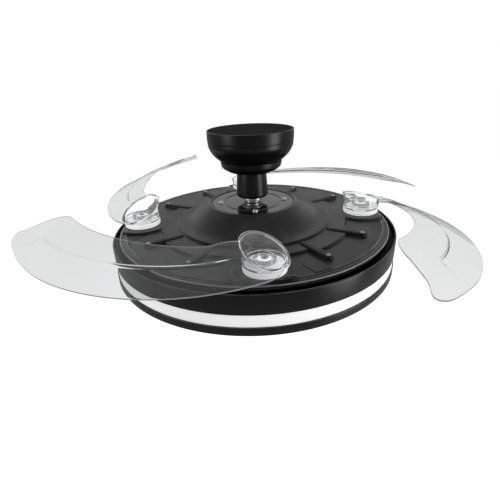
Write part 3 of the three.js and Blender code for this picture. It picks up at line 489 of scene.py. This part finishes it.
def trayRise(r, turn):
    # height above the tray's floor: a dome that falls as 1 - sin, a shelf at its foot, panels that step down
    # outward, a lobe at each hub, and rounded rings; every step goes as 3 t^2 - 2 t^3
    t = tray
    hubX = r * np.sin(turn)
    hubY = r * np.cos(turn) - fan["hubCircle"]
    lobe = np.hypot(hubX, hubY) - t["lobeR"]
    inner = r - np.where(np.abs(turn) > np.radians(t["padHalfTurn"]), t["bayR"], t["padR"])
    mix = np.clip(0.5 + 0.5 * (lobe - inner) / t["melt"], 0, 1)        # the ring and the lobe melt together
    joined = lobe * (1 - mix) + inner * mix - t["melt"] * mix * (1 - mix)
    panel = t["fieldRise"] + (t["panelRise"] - t["fieldRise"]) * smoothStep(0.5 - joined / t["stepWide"]) \
        * (1 - smoothStep((r - t["panelEndR"]) / t["panelEndWide"]))
    shelf = (t["shelfRise"] - t["panelRise"]) \
        * smoothStep((t["shelfR"] + t["shelfPast"] - r) / t["shelfWide"])
    along = np.clip((r - t["topR"]) / (t["footR"] - t["topR"]), 0, 1)
    slope = (t["topRise"] - t["shelfRise"]) * (1 - np.sin(along * np.pi / 2) ** t["slopePower"])
    edge = -t["edgeDrop"] * smoothStep((r - t["edgeFromR"]) / t["edgeWide"])
    rings = rounded(r, t["ridge"]) + rounded(r, t["groove"]) + rounded(r, t["bead"])
    return panel + shelf + slope + rings + edge


def traySurface():
    # rows of (turn, radius, height) over the top and back underneath, for one quarter that is repeated four
    # times: x = radius * cos(turn), y = radius * sin(turn)
    t = tray
    turn = np.linspace(-45, 45, t["columns"] // 4, endpoint=False) + t["startTurn"]
    radii = np.concatenate([
        np.linspace(t["topR"] - 5.6, t["topR"] + 4, 14),
        np.linspace(t["topR"] + 6, t["footR"] - 3, 11),
        np.linspace(t["footR"], t["shelfR"] - 3, 4),
        np.linspace(t["shelfR"] - 2, t["shelfR"] + 2.4, 7),
        np.linspace(t["shelfR"] + 5, 160, 6), np.linspace(161.5, 181, 16), np.linspace(182.3, 224, 27),
        np.linspace(225, 230, 9), np.linspace(231.2, t["edgeR"] - 1, 7)])
    r, a = np.meshgrid(radii, np.radians(turn), indexing="ij")
    top = np.stack([r, trayRise(r, a)], -1)

    def level(profile):                  # rows that keep one radius and height all the way round
        return np.repeat(np.array(profile, float)[:, None, :], len(turn), 1)
    lipZ = t["topRise"] - 2.3
    lip = level([(t["lipR"], lipZ - t["sheet"]), (t["lipR"], lipZ), (t["capR"] - 0.4, lipZ),
                 (t["capR"], lipZ + 0.3), (t["capR"] + 0.2, t["topRise"] - 0.5),
                 (t["capR"] + 0.8, t["topRise"])])
    rim = level([(t["edgeR"] - 0.2, -2.9), (t["edgeR"], -3.5), (t["edgeR"] - 0.3, -4.1),
                 (t["skirtR"] + 0.6, -4.7), (t["skirtR"], -5.5), (t["skirtR"], -t["skirtDrop"]),
                 (t["skirtR"] - 1.0, -t["skirtDrop"] - 0.3), (t["skirtR"] - 1.2, -t["skirtDrop"] + 0.6),
                 (t["skirtR"] - 1.2, -4.8)])
    underR = np.linspace(t["skirtR"] - 4, t["topR"], 16)
    ur, ua = np.meshgrid(underR, np.radians(turn), indexing="ij")
    under = np.stack([ur, trayRise(ur, ua) - t["sheet"]], -1)
    inner = level([(t["capR"] + 2, t["topRise"] - 1.4), (t["capR"] + 1.5, lipZ - t["sheet"])])
    section = np.concatenate([lip, top, rim, under, inner])
    quarter = np.concatenate([np.broadcast_to(turn, section.shape[:2])[..., None], section], -1)
    whole = np.concatenate([quarter + [90 * k + fan["quarterTurn"], 0, 0] for k in range(4)], 1)
    angle = np.radians(whole[..., 0])
    points = np.stack([whole[..., 1] * np.cos(angle), whole[..., 1] * np.sin(angle),
                       whole[..., 2] + fan["floorZ"]], -1)
    return addMesh("bladeTray", points, gridFaces(points.shape[0], points.shape[1], True, True), 40)


rib = {
    "half": 7.0, "inner": 146, "outer": 199, "spread": 30, "lean": -1.8,
    "section": [(7, -2.9), (-1.8, -2.8), (-1.6, -1.8), (-0.5, -1.1), (0.0, 0.4), (0.3, 2.6), (0.7, 3.5),
                (1.6, 4.0), (4.0, 4.1), (7, 4.1)],        # how far the outline has moved in, and how high
    "clipR": 3.6, "clipFoot": 3.9, "clipRise": 4.3, "clipCrown": 1.5,
}


def ribSurface(name, degrees):
    # a bar with round ends: its outline moves in and up row by row until it closes on the middle line
    rows = np.array(rib["section"])
    s = np.linspace(0, 2 * np.pi, 72, endpoint=False)
    across, end = np.cos(s), np.sin(s)
    middle = np.where(end > 0, rib["outer"], rib["inner"])
    width = rib["half"] - rows[:, 0:1]
    x = width * across
    y = middle + width * end
    z = fan["floorZ"] + rows[:, 1:2] + 0 * across
    points = spun(np.stack([x, y, z], -1), degrees)
    return addMesh(name, points, gridFaces(len(rows), 72, False, True), 40)


def ribClip(name, degrees):
    # the small round head at a bar's outer end: height = rise + crown x (1 - share of the radius squared)
    share = np.array([0, 0.25, 0.5, 0.7, 0.85, 0.95, 1.0, 0.98])
    height = rib["clipRise"] + rib["clipCrown"] * (1 - share ** 2)
    height[-1] = rib["clipFoot"]
    s = np.linspace(0, 2 * np.pi, 40, endpoint=False)
    x = rib["clipR"] * share[:, None] * np.cos(s)
    y = rib["outer"] + rib["clipR"] * share[:, None] * np.sin(s)
    top = np.stack([x, y, height[:, None] + 0 * s + fan["floorZ"]], -1)
    foot = top[-1:] * [0, 0, 1] + [0, rib["outer"], 0]
    return addMesh(name, spun(np.concatenate([top, foot]), degrees), gridFaces(9, 40, False, True), 50)


rotorCap = {                             # the round plate in the dome, with a groove round it
    "segments": 160,
    "corners": [
        (11.5, -127.5, 0), (73, -127.5, 0.2), (73, -125.9, 0.5), (71.6, -125.5, 0.4),
        (53.4, -125.5, 0.6), (52.2, -126.6, 0.6), (50.4, -126.6, 0.6), (49.2, -125.5, 0.6),
        (12.2, -125.5, 0.5), (11.5, -126.2, 0.3)],
}
capScrew = {
    "circle": 57, "lift": 0.3, "radius": 4.5, "height": 3.1, "crown": 0.28,
    "crossDeep": 0.55, "crossHalf": 0.153, "crossReach": 0.62, "crossSoft": 0.5,      # shares, the last in mm
}


def screwPiece(name, centre, headZ):
    # round head: height x (1 - crown x share of the radius squared), rounded over at the edge row by row,
    # less its depth inside a cross
    c = capScrew
    radius, height = c["radius"], c["height"]
    edge = np.array([0.86, 0.93, 0.98, 1.0, 1.0, 0.99])
    r = np.concatenate([np.linspace(0, radius * 0.78, 12), radius * edge])
    s = np.linspace(0, 2 * np.pi, 56, endpoint=False)
    rr, ss = np.meshgrid(r, s, indexing="ij")
    x, y = rr * np.cos(ss), rr * np.sin(ss)
    dome = height * (1 - c["crown"] * (rr / radius) ** 2)
    dome[-7] = height * 0.8
    dome[-6:-1] = height * 0.76 * np.array([0.9, 0.72, 0.45, 0.2, 0.0])[:, None]
    dome[-1] = -0.2
    u, v = np.abs(x), np.abs(y)
    wide, long = radius * c["crossHalf"], radius * c["crossReach"]
    cross = np.minimum(np.maximum(u - wide, v - long), np.maximum(v - wide, u - long))
    dome = dome - height * c["crossDeep"] * smoothStep(0.5 - cross / c["crossSoft"])
    points = np.stack([x + centre[0], y + centre[1], dome + headZ], -1)
    floor = points[-1:].copy()
    floor[..., 0:2] = centre
    faces = gridFaces(len(r) + 1, len(s), False, True)
    return addMesh(name, np.concatenate([points, floor]), faces, 50)


finishPiece(traySurface(), "rotor", trayFinish, "tray_black", "blade_tray")
for k in range(4):
    for number, side in enumerate((-1, 1)):
        degrees = fan["quarterTurn"] + rib["lean"] + k * 90 + side * rib["spread"]
        piece = ribSurface("trayRib_%d" % (2 * k + number + 1), degrees)
        finishPiece(piece, "rotor", ribBlack, "tray_black")
        finishPiece(ribClip("ribClip_%d" % (2 * k + number + 1), degrees), "rotor", steel, "chrome")
finishPiece(turned("rotorCap", rotorCap), "rotor", capBlack, "tray_black", "rotor_cap")
for k in range(4):
    a = math.radians(90 + fan["quarterTurn"] + k * 90)
    centre = (capScrew["circle"] * math.cos(a), capScrew["circle"] * math.sin(a))
    piece = screwPiece("capScrew_%d" % (k + 1), centre, fan["domeTopZ"] + capScrew["lift"])
    finishPiece(piece, "rotor", chrome, "chrome", "cap_screw_%d" % (k + 1))
print("tray made")


# blades

blade = {
    # the arc: its centre, its two edges and how far it turns
    "centreT": 105.0, "centreR": -188.3, "inner": 198.0, "innerTip": 199.5, "innerFrom": 0.6,
    "innerOver": 0.36, "reachRoot": 263.2, "reachTip": 281.1, "reachBow": 0.62, "rootTurn": 121,
    "tipTurn": 27.8, "skew": 7.55, "innerCorner": 24.3, "outerCorner": 39.9, "bulge": 4.0,
    "bulgeAt": 0.93, "bulgeWide": 0.16, "tuck": 15, "tuckShare": 0.16,
    # heights and thickness
    "innerRise": 37.0, "innerGain": 33.6, "outerRise": 17.5, "outerGain": 17.2, "outerPower": 1.6,
    "tipRise": 5.7, "tipFrom": 0.75, "camber": 3.0,
    "thick": 2.2, "thickFar": 1.6, "thinFrom": 50, "thinOver": 60,
    # the step along the middle
    "crease": 0.375, "creaseGain": 0.175, "creaseBow": 0.02, "creaseBowEnd": 0.9, "creaseDrop": 3.4,
    "creaseTipDrop": 1.6, "creaseEnd": 0.875, "creaseStart": 0.13, "creaseWide": 0.036,
    "creaseFade": 0.02, "creaseColumn": 0.47,
    # the cup and its slanted rim
    "rimRoot": 31.0, "rimRise": 0.381, "rimFall": 0.342, "rimR": 34.5, "rimBlend": 45, "cupR": 31.0,
    "flare": 1.2, "wall": 2.0, "ledgeR": 26.8, "ledgeRise": 4.6, "boreR": 9.8,
}


def rimPlane(x, y):
    # the slanted plane of the cup's rim: height = root + rise * x - fall * y
    b = blade
    return fan["floorZ"] + b["rimRoot"] + b["rimRise"] * x - b["rimFall"] * y


def creaseLine(along):
    # how far across the blade its step lies: a straight run outward with a slight bow
    b = blade
    bow = b["creaseBow"] * np.sin(np.pi * np.clip(along / b["creaseBowEnd"], 0, 1))
    return b["crease"] + b["creaseGain"] * along + bow


def bladePoint(along, across):
    # an arc-shaped plate in polar form about a centre beside the fan: x = centre + radius * cos(turn),
    # y = centre + radius * sin(turn); the corners of its tip are rounded off as quarter circles
    b = blade
    span = b["reachTip"] - b["inner"]
    grown = smoothStep((along - b["innerFrom"]) / b["innerOver"])
    inner = b["inner"] + (b["innerTip"] - b["inner"]) * grown
    fromInner = np.maximum(b["innerCorner"] - across * span, 0)
    fromOuter = np.maximum(b["outerCorner"] - (1 - across) * span, 0)
    drawn = (b["innerCorner"] - np.sqrt(np.maximum(b["innerCorner"] ** 2 - fromInner ** 2, 0))
             + b["outerCorner"] - np.sqrt(np.maximum(b["outerCorner"] ** 2 - fromOuter ** 2, 0)))
    bulge = b["bulge"] * np.exp(-((across - b["bulgeAt"]) / b["bulgeWide"]) ** 2)
    end = b["tipTurn"] + b["skew"] * (0.5 - across) + np.degrees(drawn / b["reachTip"]) - bulge
    turn = b["rootTurn"] + (end - b["rootTurn"]) * along
    tuck = b["tuck"] * np.maximum(1 - along / b["tuckShare"], 0) ** 2
    bow = np.sin(along * np.pi * b["reachBow"])
    outer = b["reachRoot"] + (b["reachTip"] - b["reachRoot"]) * bow - tuck
    radius = inner + (outer - inner) * across
    x = b["centreT"] + radius * np.cos(np.radians(turn))
    y = b["centreR"] + radius * np.sin(np.radians(turn))
    # heights: straight between a high inner and a low outer edge, with a crown of 4 a (1 - a) and a step
    # along the middle; near the cup they pass over to the plane of its rim
    share = (b["rootTurn"] - turn) / (b["rootTurn"] - b["tipTurn"])
    inside = b["innerRise"] + b["innerGain"] * share
    outside = b["outerRise"] + b["outerGain"] * np.maximum(share, 0) ** b["outerPower"]
    strip = fan["floorZ"] + inside + (outside - inside) * across + b["camber"] * 4 * across * (1 - across)
    strip = strip + b["tipRise"] * smoothStep((along - b["tipFrom"]) / (1 - b["tipFrom"])) * across
    step = smoothStep((across - creaseLine(along)) / b["creaseWide"] + 0.5)
    step = step * (1 - smoothStep((along - b["creaseEnd"]) / b["creaseFade"]))
    deep = b["creaseDrop"] + (b["creaseTipDrop"] - b["creaseDrop"]) * along
    strip = strip - deep * step * smoothStep(along / b["creaseStart"]) * np.minimum((1 - across) * 2, 1)
    toPlane = smoothStep((np.hypot(x, y) - b["rimR"]) / b["rimBlend"])
    z = rimPlane(x, y) * (1 - toPlane) + strip * toPlane
    return np.stack([x, y, z], -1)


def bladePlate():
    # a grid of bladePoint over (along, across), the same grid a thickness lower, and quads round their edge
    b = blade
    along = np.concatenate([np.linspace(0, 0.84, 84), np.linspace(0.85, 1, 24)])
    middle = b["creaseColumn"]           # the column that runs along the step
    across = np.concatenate([np.array([0, 0.006, 0.016, 0.035, 0.07, 0.11]), np.linspace(0.15, 0.43, 8),
                             np.linspace(0.448, 0.492, 12), np.linspace(0.51, 0.88, 12),
                             np.array([0.92, 0.95, 0.97, 0.985, 0.994, 1.0])])
    a, c = np.meshgrid(along, across, indexing="ij")
    share = np.where(c < middle, c / middle, (1 - c) / (1 - middle))
    c = c + (creaseLine(a) - middle) * share
    top = bladePoint(a, c)
    away = smoothStep((np.hypot(top[..., 0], top[..., 1]) - b["thinFrom"]) / b["thinOver"])
    low = top.copy()
    low[..., 2] -= b["thick"] + (b["thickFar"] - b["thick"]) * away
    low[..., 2] = np.maximum(low[..., 2], fan["cupBottomZ"] + 0.1)
    rows, cols = a.shape
    faces = gridFaces(rows, cols)
    offset = rows * cols
    index = np.arange(rows * cols).reshape(rows, cols)
    ring = np.concatenate([index[0, :], index[1:, -1], index[-1, -2::-1], index[-2:0:-1, 0]])
    after = np.roll(ring, -1)
    edge = np.stack([ring, ring + offset, after + offset, after], -1)
    kind = np.concatenate([np.zeros(2 * len(faces), int), np.ones(len(edge), int)])
    allFaces = np.concatenate([faces, faces[:, ::-1] + offset, edge])
    points = np.concatenate([top.reshape(-1, 3), low.reshape(-1, 3)])
    piece = addMesh("plate", points, allFaces, 40, merge=False)
    piece.data.polygons.foreach_set("material_index", kind)
    work = bmesh.new()
    work.from_mesh(piece.data)
    bmesh.ops.recalc_face_normals(work, faces=work.faces)
    work.to_mesh(piece.data)
    work.free()
    return piece


def slanted(rows, segments=120):
    # rows of (radius, height, share): a share of 1 lets the height follow the slanted rim
    rows = np.array(rows, float)
    s = np.linspace(0, 2 * np.pi, segments, endpoint=False)
    x = rows[:, 0:1] * np.cos(s)
    y = rows[:, 0:1] * np.sin(s)
    lean = blade["rimRise"] * x - blade["rimFall"] * y
    return np.stack([x, y, rows[:, 1:2] + rows[:, 2:3] * lean], -1)


def giveClear(piece):
    # material rows of a blade: 0 its faces, 1 its edges, 2 the cup's wall
    for material in (clear, clearEdge, clearCup):
        piece.data.materials.append(material)


def cupSolid():
    # the wall's closed section, from the bore up to the rim and back down to the floor, carried once round
    # with its rim on the slanted plane
    b = blade
    rim = fan["floorZ"] + b["rimRoot"]
    low, floor = fan["cupBottomZ"], fan["cupFloorZ"]
    outer, inner = b["cupR"], b["cupR"] - b["wall"]
    rows = [
        (b["boreR"], low, 0), (outer - 0.6, low, 0), (outer, low + 0.6, 0),
        (outer + b["flare"] - 0.3, rim - 4.4, 1), (outer + b["flare"] + 0.4, rim - 2.8, 1),
        (b["rimR"] - 0.3, rim - 2.2, 1), (b["rimR"], rim - 1.7, 1), (b["rimR"], rim - 0.5, 1),
        (b["rimR"] - 0.5, rim, 1), (inner + b["flare"] + 0.5, rim, 1),
        (inner + b["flare"] - 0.2, rim - 0.8, 1), (inner + 0.3, floor + b["ledgeRise"] + 0.4, 0),
        (inner - 0.1, floor + b["ledgeRise"], 0), (b["ledgeR"] + 0.4, floor + b["ledgeRise"], 0),
        (b["ledgeR"], floor + b["ledgeRise"] - 0.5, 0), (b["ledgeR"], floor + 0.8, 0),
        (b["ledgeR"] - 0.7, floor, 0), (b["boreR"], floor, 0)]
    points = slanted(rows)
    cup = addMesh("cup", points, gridFaces(len(rows), points.shape[1], True, True), 30)
    kind = np.full((len(rows), points.shape[1]), 2)
    kind[[5, 6, 7, 9]] = 1               # the rim shows as two edges, the rest as the cup's own clear wall
    giveClear(cup)
    cup.data.polygons.foreach_set("material_index", kind.ravel())
    return cup


def cavitySolid():
    # what is cut out of the plate where the cup opens: the cup's inside, carried on upward
    rim = fan["floorZ"] + blade["rimRoot"]
    inner = blade["cupR"] - blade["wall"]
    rows = [(0, fan["cupFloorZ"] + 0.02, 0), (inner - 2.4, fan["cupFloorZ"] + 0.02, 0),
            (inner + blade["flare"] - 0.25, rim - 0.8, 1), (inner + blade["flare"] + 2.5, rim + 40, 1),
            (0, rim + 40, 1)]
    points = slanted(rows, 96)
    return addMesh("cavity", points, gridFaces(len(rows), points.shape[1], False, True), 30)


def combine(base, other, operation):
    # cuts the other closed mesh out of the base, or joins them into one skin
    change = base.modifiers.new("change", "BOOLEAN")
    change.operation = operation
    change.solver = "EXACT"
    change.object = other
    bpy.context.view_layer.update()
    made = bpy.data.meshes.new_from_object(base.evaluated_get(bpy.context.evaluated_depsgraph_get()))
    base.modifiers.clear()
    base.data = made
    bpy.data.objects.remove(other)
    return base


def bladeMesh():
    # the plate less the cup's inside, joined with the cup: one closed skin, in the hub's own frame
    plate = bladePlate()
    giveClear(plate)
    whole = combine(plate, cavitySolid(), "DIFFERENCE")
    whole = combine(whole, cupSolid(), "UNION")
    count = len(whole.data.vertices)
    co = np.zeros(count * 3)
    whole.data.vertices.foreach_get("co", co)
    mesh = whole.data
    bpy.data.objects.remove(whole)
    return mesh, co.reshape(-1, 3) / mm


def bladePieces():
    # the same mesh at each hub, opened as far as that blade stands at rest
    mesh, co = bladeMesh()
    print("blade mesh", len(mesh.vertices), "points", len(mesh.polygons), "faces")
    for k in range(4):
        copy = mesh.copy()
        copy.name = "bladeShell_%d" % (k + 1)
        moved = atHub(co, k, restTurns[k]) * mm
        copy.vertices.foreach_set("co", moved.ravel())
        copy.polygons.foreach_set("use_smooth", np.ones(len(copy.polygons), bool))
        copy.update()
        copy.set_sharp_from_angle(angle=math.radians(35))
        piece = bpy.data.objects.new("bladeShell_%d" % (k + 1), copy)
        bpy.context.scene.collection.objects.link(piece)
        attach(piece, bladeBodies[k])
        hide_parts("blade_%d" % (k + 1))


bladePieces()
print("blades made")


# pivots

pivotSeat = {                            # the frosted disc under a cup
    "segments": 120,
    "corners": [
        (3.4, -156.7, 0.1), (30.2, -156.7, 0.8), (31, -155.9, 0.6), (31, -149.6, 0.8),
        (30.2, -148.7, 0.8), (3.4, -148.7, 0.1)],
}
pivotBush = {
    "segments": 96,
    "corners": [
        (3.4, -148.4, 0.1), (9.4, -148.4, 0.2), (9.4, -139.9, 0.5), (8.9, -139.2, 0.5),
        (3.4, -139.2, 0.1)],
}
pivotBolt = {                            # shoulder bolt with a recess in its head
    "segments": 72, "closed": False,
    "corners": [
        (0, -163.2, 0), (3, -163.2, 0.3), (3, -138.9, 0.1), (6.5, -138.9, 0.4), (6.5, -137.7, 0.5),
        (5.4, -136.5, 0.8), (3.2, -136.5, 0.2), (3.0, -137.9, 0.2), (0, -137.9, 0)],
}
spring = {"turns": 2.625, "coil": 15.0, "pitch": 2.7, "wire": 1.0, "leg": 9.0, "lift": 1.3}


def springSurface(name, k):
    # a round wire carried along a path: a straight leg, the helix (coil * cos, coil * sin, pitch * turns) and
    # a leg that leaves along its tangent
    base, coil, leg, wire = fan["cupFloorZ"] + spring["lift"], spring["coil"], spring["leg"], spring["wire"]
    t = np.linspace(0, spring["turns"], 150)
    turn = 2 * np.pi * t
    helix = np.stack([coil * np.cos(turn), coil * np.sin(turn), base + spring["pitch"] * t], -1)
    first = np.linspace(0, 1, 6)[:-1, None] * [0, leg, 0] + [coil, -leg, base]
    last = 2 * np.pi * spring["turns"]
    away = np.array([-math.sin(last), math.cos(last), 0])
    final = helix[-1] + np.linspace(0, 1, 6)[1:, None] * away * leg
    path = np.concatenate([first, helix, final])
    forward = np.gradient(path, axis=0)
    forward /= np.linalg.norm(forward, axis=1, keepdims=True)
    across = np.cross(forward, [0, 0, 1])
    across /= np.linalg.norm(across, axis=1, keepdims=True)
    above = np.cross(across, forward)
    s = np.linspace(0, 2 * np.pi, 12, endpoint=False)[None, :, None]
    tube = path[:, None] + wire * (np.cos(s) * across[:, None] + np.sin(s) * above[:, None])
    tube = np.concatenate([np.repeat(path[:1, None], 12, 1), tube, np.repeat(path[-1:, None], 12, 1)])
    return addMesh(name, atHub(tube, k), gridFaces(len(tube), 12, False, True), 50)


def pivotPieces(k):
    n = k + 1
    finishPiece(turned("pivotSeat_%d" % n, pivotSeat, k), "rotor", frosted, "frosted_plastic",
                "pivot_seat_%d" % n)
    finishPiece(turned("pivotBush_%d" % n, pivotBush, k), "rotor", bushWhite, "white_plastic",
                "pivot_bush_%d" % n)
    finishPiece(turned("pivotBolt_%d" % n, pivotBolt, k), "rotor", chrome, "chrome", "pivot_bolt_%d" % n)
    finishPiece(springSurface("returnSpring_%d" % n, k), "rotor", steel, "steel", "return_spring_%d" % n)


for k in range(4):
    pivotPieces(k)
print("pivots made")


# body rings

topZ, bandZ, lowZ, bottomZ = (fan[key] for key in ("ringTopZ", "bandTopZ", "bandBottomZ", "bottomZ"))
upperRing = {                            # the tall black ring and its inward flange
    "segments": 256,
    "corners": [
        (247.1, topZ - 0.6, 0.4), (247.9, topZ, 0.5), (249.2, topZ, 0.8), (250, topZ - 1.2, 0.9),
        (250, bandZ + 0.9, 0.3), (249.6, bandZ + 0.3, 0.3), (247, bandZ + 0.3, 0.2), (247, -178.5, 0.2),
        (236, -178.5, 0.2), (236, -176.5, 0.3), (247, -176.5, 0.3)],
}
lightBand = {
    "segments": 256,
    "corners": [
        (246, lowZ, 0.2), (248.6, lowZ, 0.4), (249, lowZ + 0.8, 0.5), (249, bandZ - 0.8, 0.5),
        (248.6, bandZ, 0.4), (246, bandZ, 0.2)],
}
lowerRing = {
    "segments": 256,
    "corners": [
        (233, bottomZ, 0.3), (251, bottomZ, 1.1), (251, lowZ - 0.9, 0.4), (250.6, lowZ - 0.3, 0.3),
        (248, lowZ - 0.3, 0.2), (248, bottomZ + 2, 0.2), (233, bottomZ + 2, 0.3)],
}
bottomDiffuser = {
    "segments": 192, "closed": False,
    "corners": [
        (0, -228, 0), (247.5, -228, 0.4), (247.7, -227.6, 0.3), (247.7, -225.2, 0.3),
        (247.4, -225, 0.2), (0, -225, 0)],
}
hangingPiece("upperRing", upperRing, ringBlack, "satin_black", "upper_ring")
hangingPiece("lightBand", lightBand, opal, "opal_plastic", "light_band")
hangingPiece("lowerRing", lowerRing, ringBlack, "satin_black", "lower_ring")
hangingPiece("bottomDiffuser", bottomDiffuser, opal, "opal_plastic", "bottom_diffuser")
print("rings made")


# looks of the CAD nodes that stay

kept = {
    "hanger_bracket": zinc, "bracket_screw_1": steel, "bracket_screw_2": steel, "hanger_ball": canopyBlack,
    "ball_pin": steel, "downrod": canopyBlack, "motor_yoke": zinc, "yoke_pin": steel,
    "rotor_shell": zinc, "rotor_end_plate": zinc, "bearing_upper": steel, "bearing_lower": steel,
    "magnet_ring": magnetFinish, "stator_core": steel, "stator_hub": innerPlastic,
    "stator_winding_upper": copperFinish, "stator_winding_lower": copperFinish,
    # the chassis pan takes the near-black painted shade
    "chassis_pan": gapShadeBlack, "chassis_nut": zinc, "led_board": boardWhite, "driver_box": innerPlastic,
}
for name, material in kept.items():
    node = nodes[name]
    node.data.materials.clear()
    node.data.materials.append(material)


# camera, floor and light

camera = {
    "lens": 26.302, "sensor": 36, "near": 0.01, "far": 100, "distance": 0.635954, "height": 0.083312,
    "pitch": -0.450671, "yaw": -0.01327, "roll": -0.04135,
}


def addCamera():
    # stands straight in front of the fan's axis, turned by yaw, then pitch, then roll (radians)
    c = camera
    level = math.cos(c["pitch"])
    forward = Vector((math.sin(c["yaw"]) * level, math.cos(c["yaw"]) * level, math.sin(c["pitch"])))
    right = Vector((math.cos(c["yaw"]), -math.sin(c["yaw"]), 0))
    up = right.cross(forward)
    side = right * math.cos(c["roll"]) + up * math.sin(c["roll"])
    top = up * math.cos(c["roll"]) - right * math.sin(c["roll"])
    data = bpy.data.cameras.new("camera")
    data.sensor_width = c["sensor"]
    data.lens = c["lens"]
    data.clip_start, data.clip_end = c["near"], c["far"]
    made = bpy.data.objects.new("camera", data)
    turn = Matrix((side, top, -forward)).transposed().to_4x4()
    turn.translation = Vector((0, -c["distance"], c["height"]))
    made.matrix_world = turn
    bpy.context.scene.collection.objects.link(made)
    bpy.context.scene.camera = made


studio = {
    "floorZ": -1.25, "floorHalf": 30, "floorShade": (0.5, 0.5, 0.5), "floorGlow": 0.85,
    "floorMirrored": 0.15, "worldDim": 0.32, "worldSeen": 0.68, "mirroredGlow": 0.48, "mirroredBase": -0.08,
    "behind": (-0.1, 0.7), "below": (0.85, 0.45), "lampTarget": (0, 0, -0.15),
}
lamps = {
    "rightSoft": {"place": (1.45, -0.75, -0.1), "size": (0.7, 1.7), "power": 20, "mirrored": True},
    "leftSoft": {"place": (-1.4, -0.8, 0.2), "size": (0.6, 1.0), "power": 7, "mirrored": True},
    "topSoft": {"place": (0.1, 0.35, 1.5), "size": (1.5, 1.1), "power": 21, "mirrored": False},
}


def addFloor():
    # pale grey that takes the shadow, and white to the camera and through glass
    z, half = studio["floorZ"], studio["floorHalf"]
    mesh = bpy.data.meshes.new("floor")
    corners = [(-half, -half, z), (half, -half, z), (half, half, z), (-half, half, z)]
    mesh.from_pydata(corners, [], [(0, 1, 2, 3)])
    floor = bpy.data.objects.new("floor", mesh)
    bpy.context.scene.collection.objects.link(floor)
    f = Finish("floorPale", Base_Color=studio["floorShade"], Roughness=0.9, Specular_IOR_Level=0.0)
    seen, reflected, through = f.rays()
    strength = (seen + through + reflected * studio["floorMirrored"]) * studio["floorGlow"]
    glow = f.node("ShaderNodeEmission", None, {"Color": (1, 1, 1), "Strength": strength})
    both = f.node("ShaderNodeAddShader", None, {0: Sock(f, f.bsdf.outputs[0]), 1: glow})
    f.put(f.out.inputs["Surface"], both)
    floor.data.materials.append(f.material)


def addLamp(name, place, size, power, mirrored, receivers):
    # a soft rectangle that faces the fan
    data = bpy.data.lights.new(name, "AREA")
    data.shape = "RECTANGLE"
    data.size, data.size_y = size
    data.energy = power
    lamp = bpy.data.objects.new(name, data)
    lamp.location = place
    lamp.rotation_euler = (Vector(studio["lampTarget"]) - Vector(place)).to_track_quat("-Z", "Y").to_euler()
    lamp.visible_glossy = mirrored
    lamp.visible_transmission = mirrored
    lamp.visible_camera = False
    bpy.context.scene.collection.objects.link(lamp)
    if mirrored:
        lamp.light_linking.receiver_collection = receivers


def withoutBlades():
    # a lamp mirrored in a clear blade shows as a white patch in it, so such lamps leave the blades out
    group = bpy.data.collections.new("withoutBlades")
    for k in range(4):
        group.objects.link(bpy.data.objects["bladeShell_%d" % (k + 1)])
    for entry in group.collection_objects:
        entry.light_linking.link_state = "EXCLUDE"
    return group


def addWorld():
    # white to the camera and through glass; in reflections bright low at the back and dim elsewhere
    world = bpy.data.worlds.new("studio")
    bpy.context.scene.world = world
    world.use_nodes = True
    g = Graph(world.node_tree)
    seen, reflected, through = g.rays()
    way = g.node("ShaderNodeTexCoord", output="Generated")
    x, y, z = g.several("ShaderNodeSeparateXYZ", {0: way}, range(3))
    low = g.eased(y, *studio["behind"]) * g.eased(z, *studio["below"])
    plain = (seen + through) * studio["worldSeen"] + studio["worldDim"]
    mirrored = reflected * (low * studio["mirroredGlow"] + studio["mirroredBase"])
    back = g.tree.nodes["Background"]
    g.put(back.inputs["Color"], (1, 1, 1))
    g.put(back.inputs["Strength"], plain + mirrored)


addCamera()
addFloor()
receivers = withoutBlades()
for name, lamp in lamps.items():
    addLamp(name, receivers=receivers, **lamp)
addWorld()
bpy.context.scene.view_settings.view_transform = "Standard"
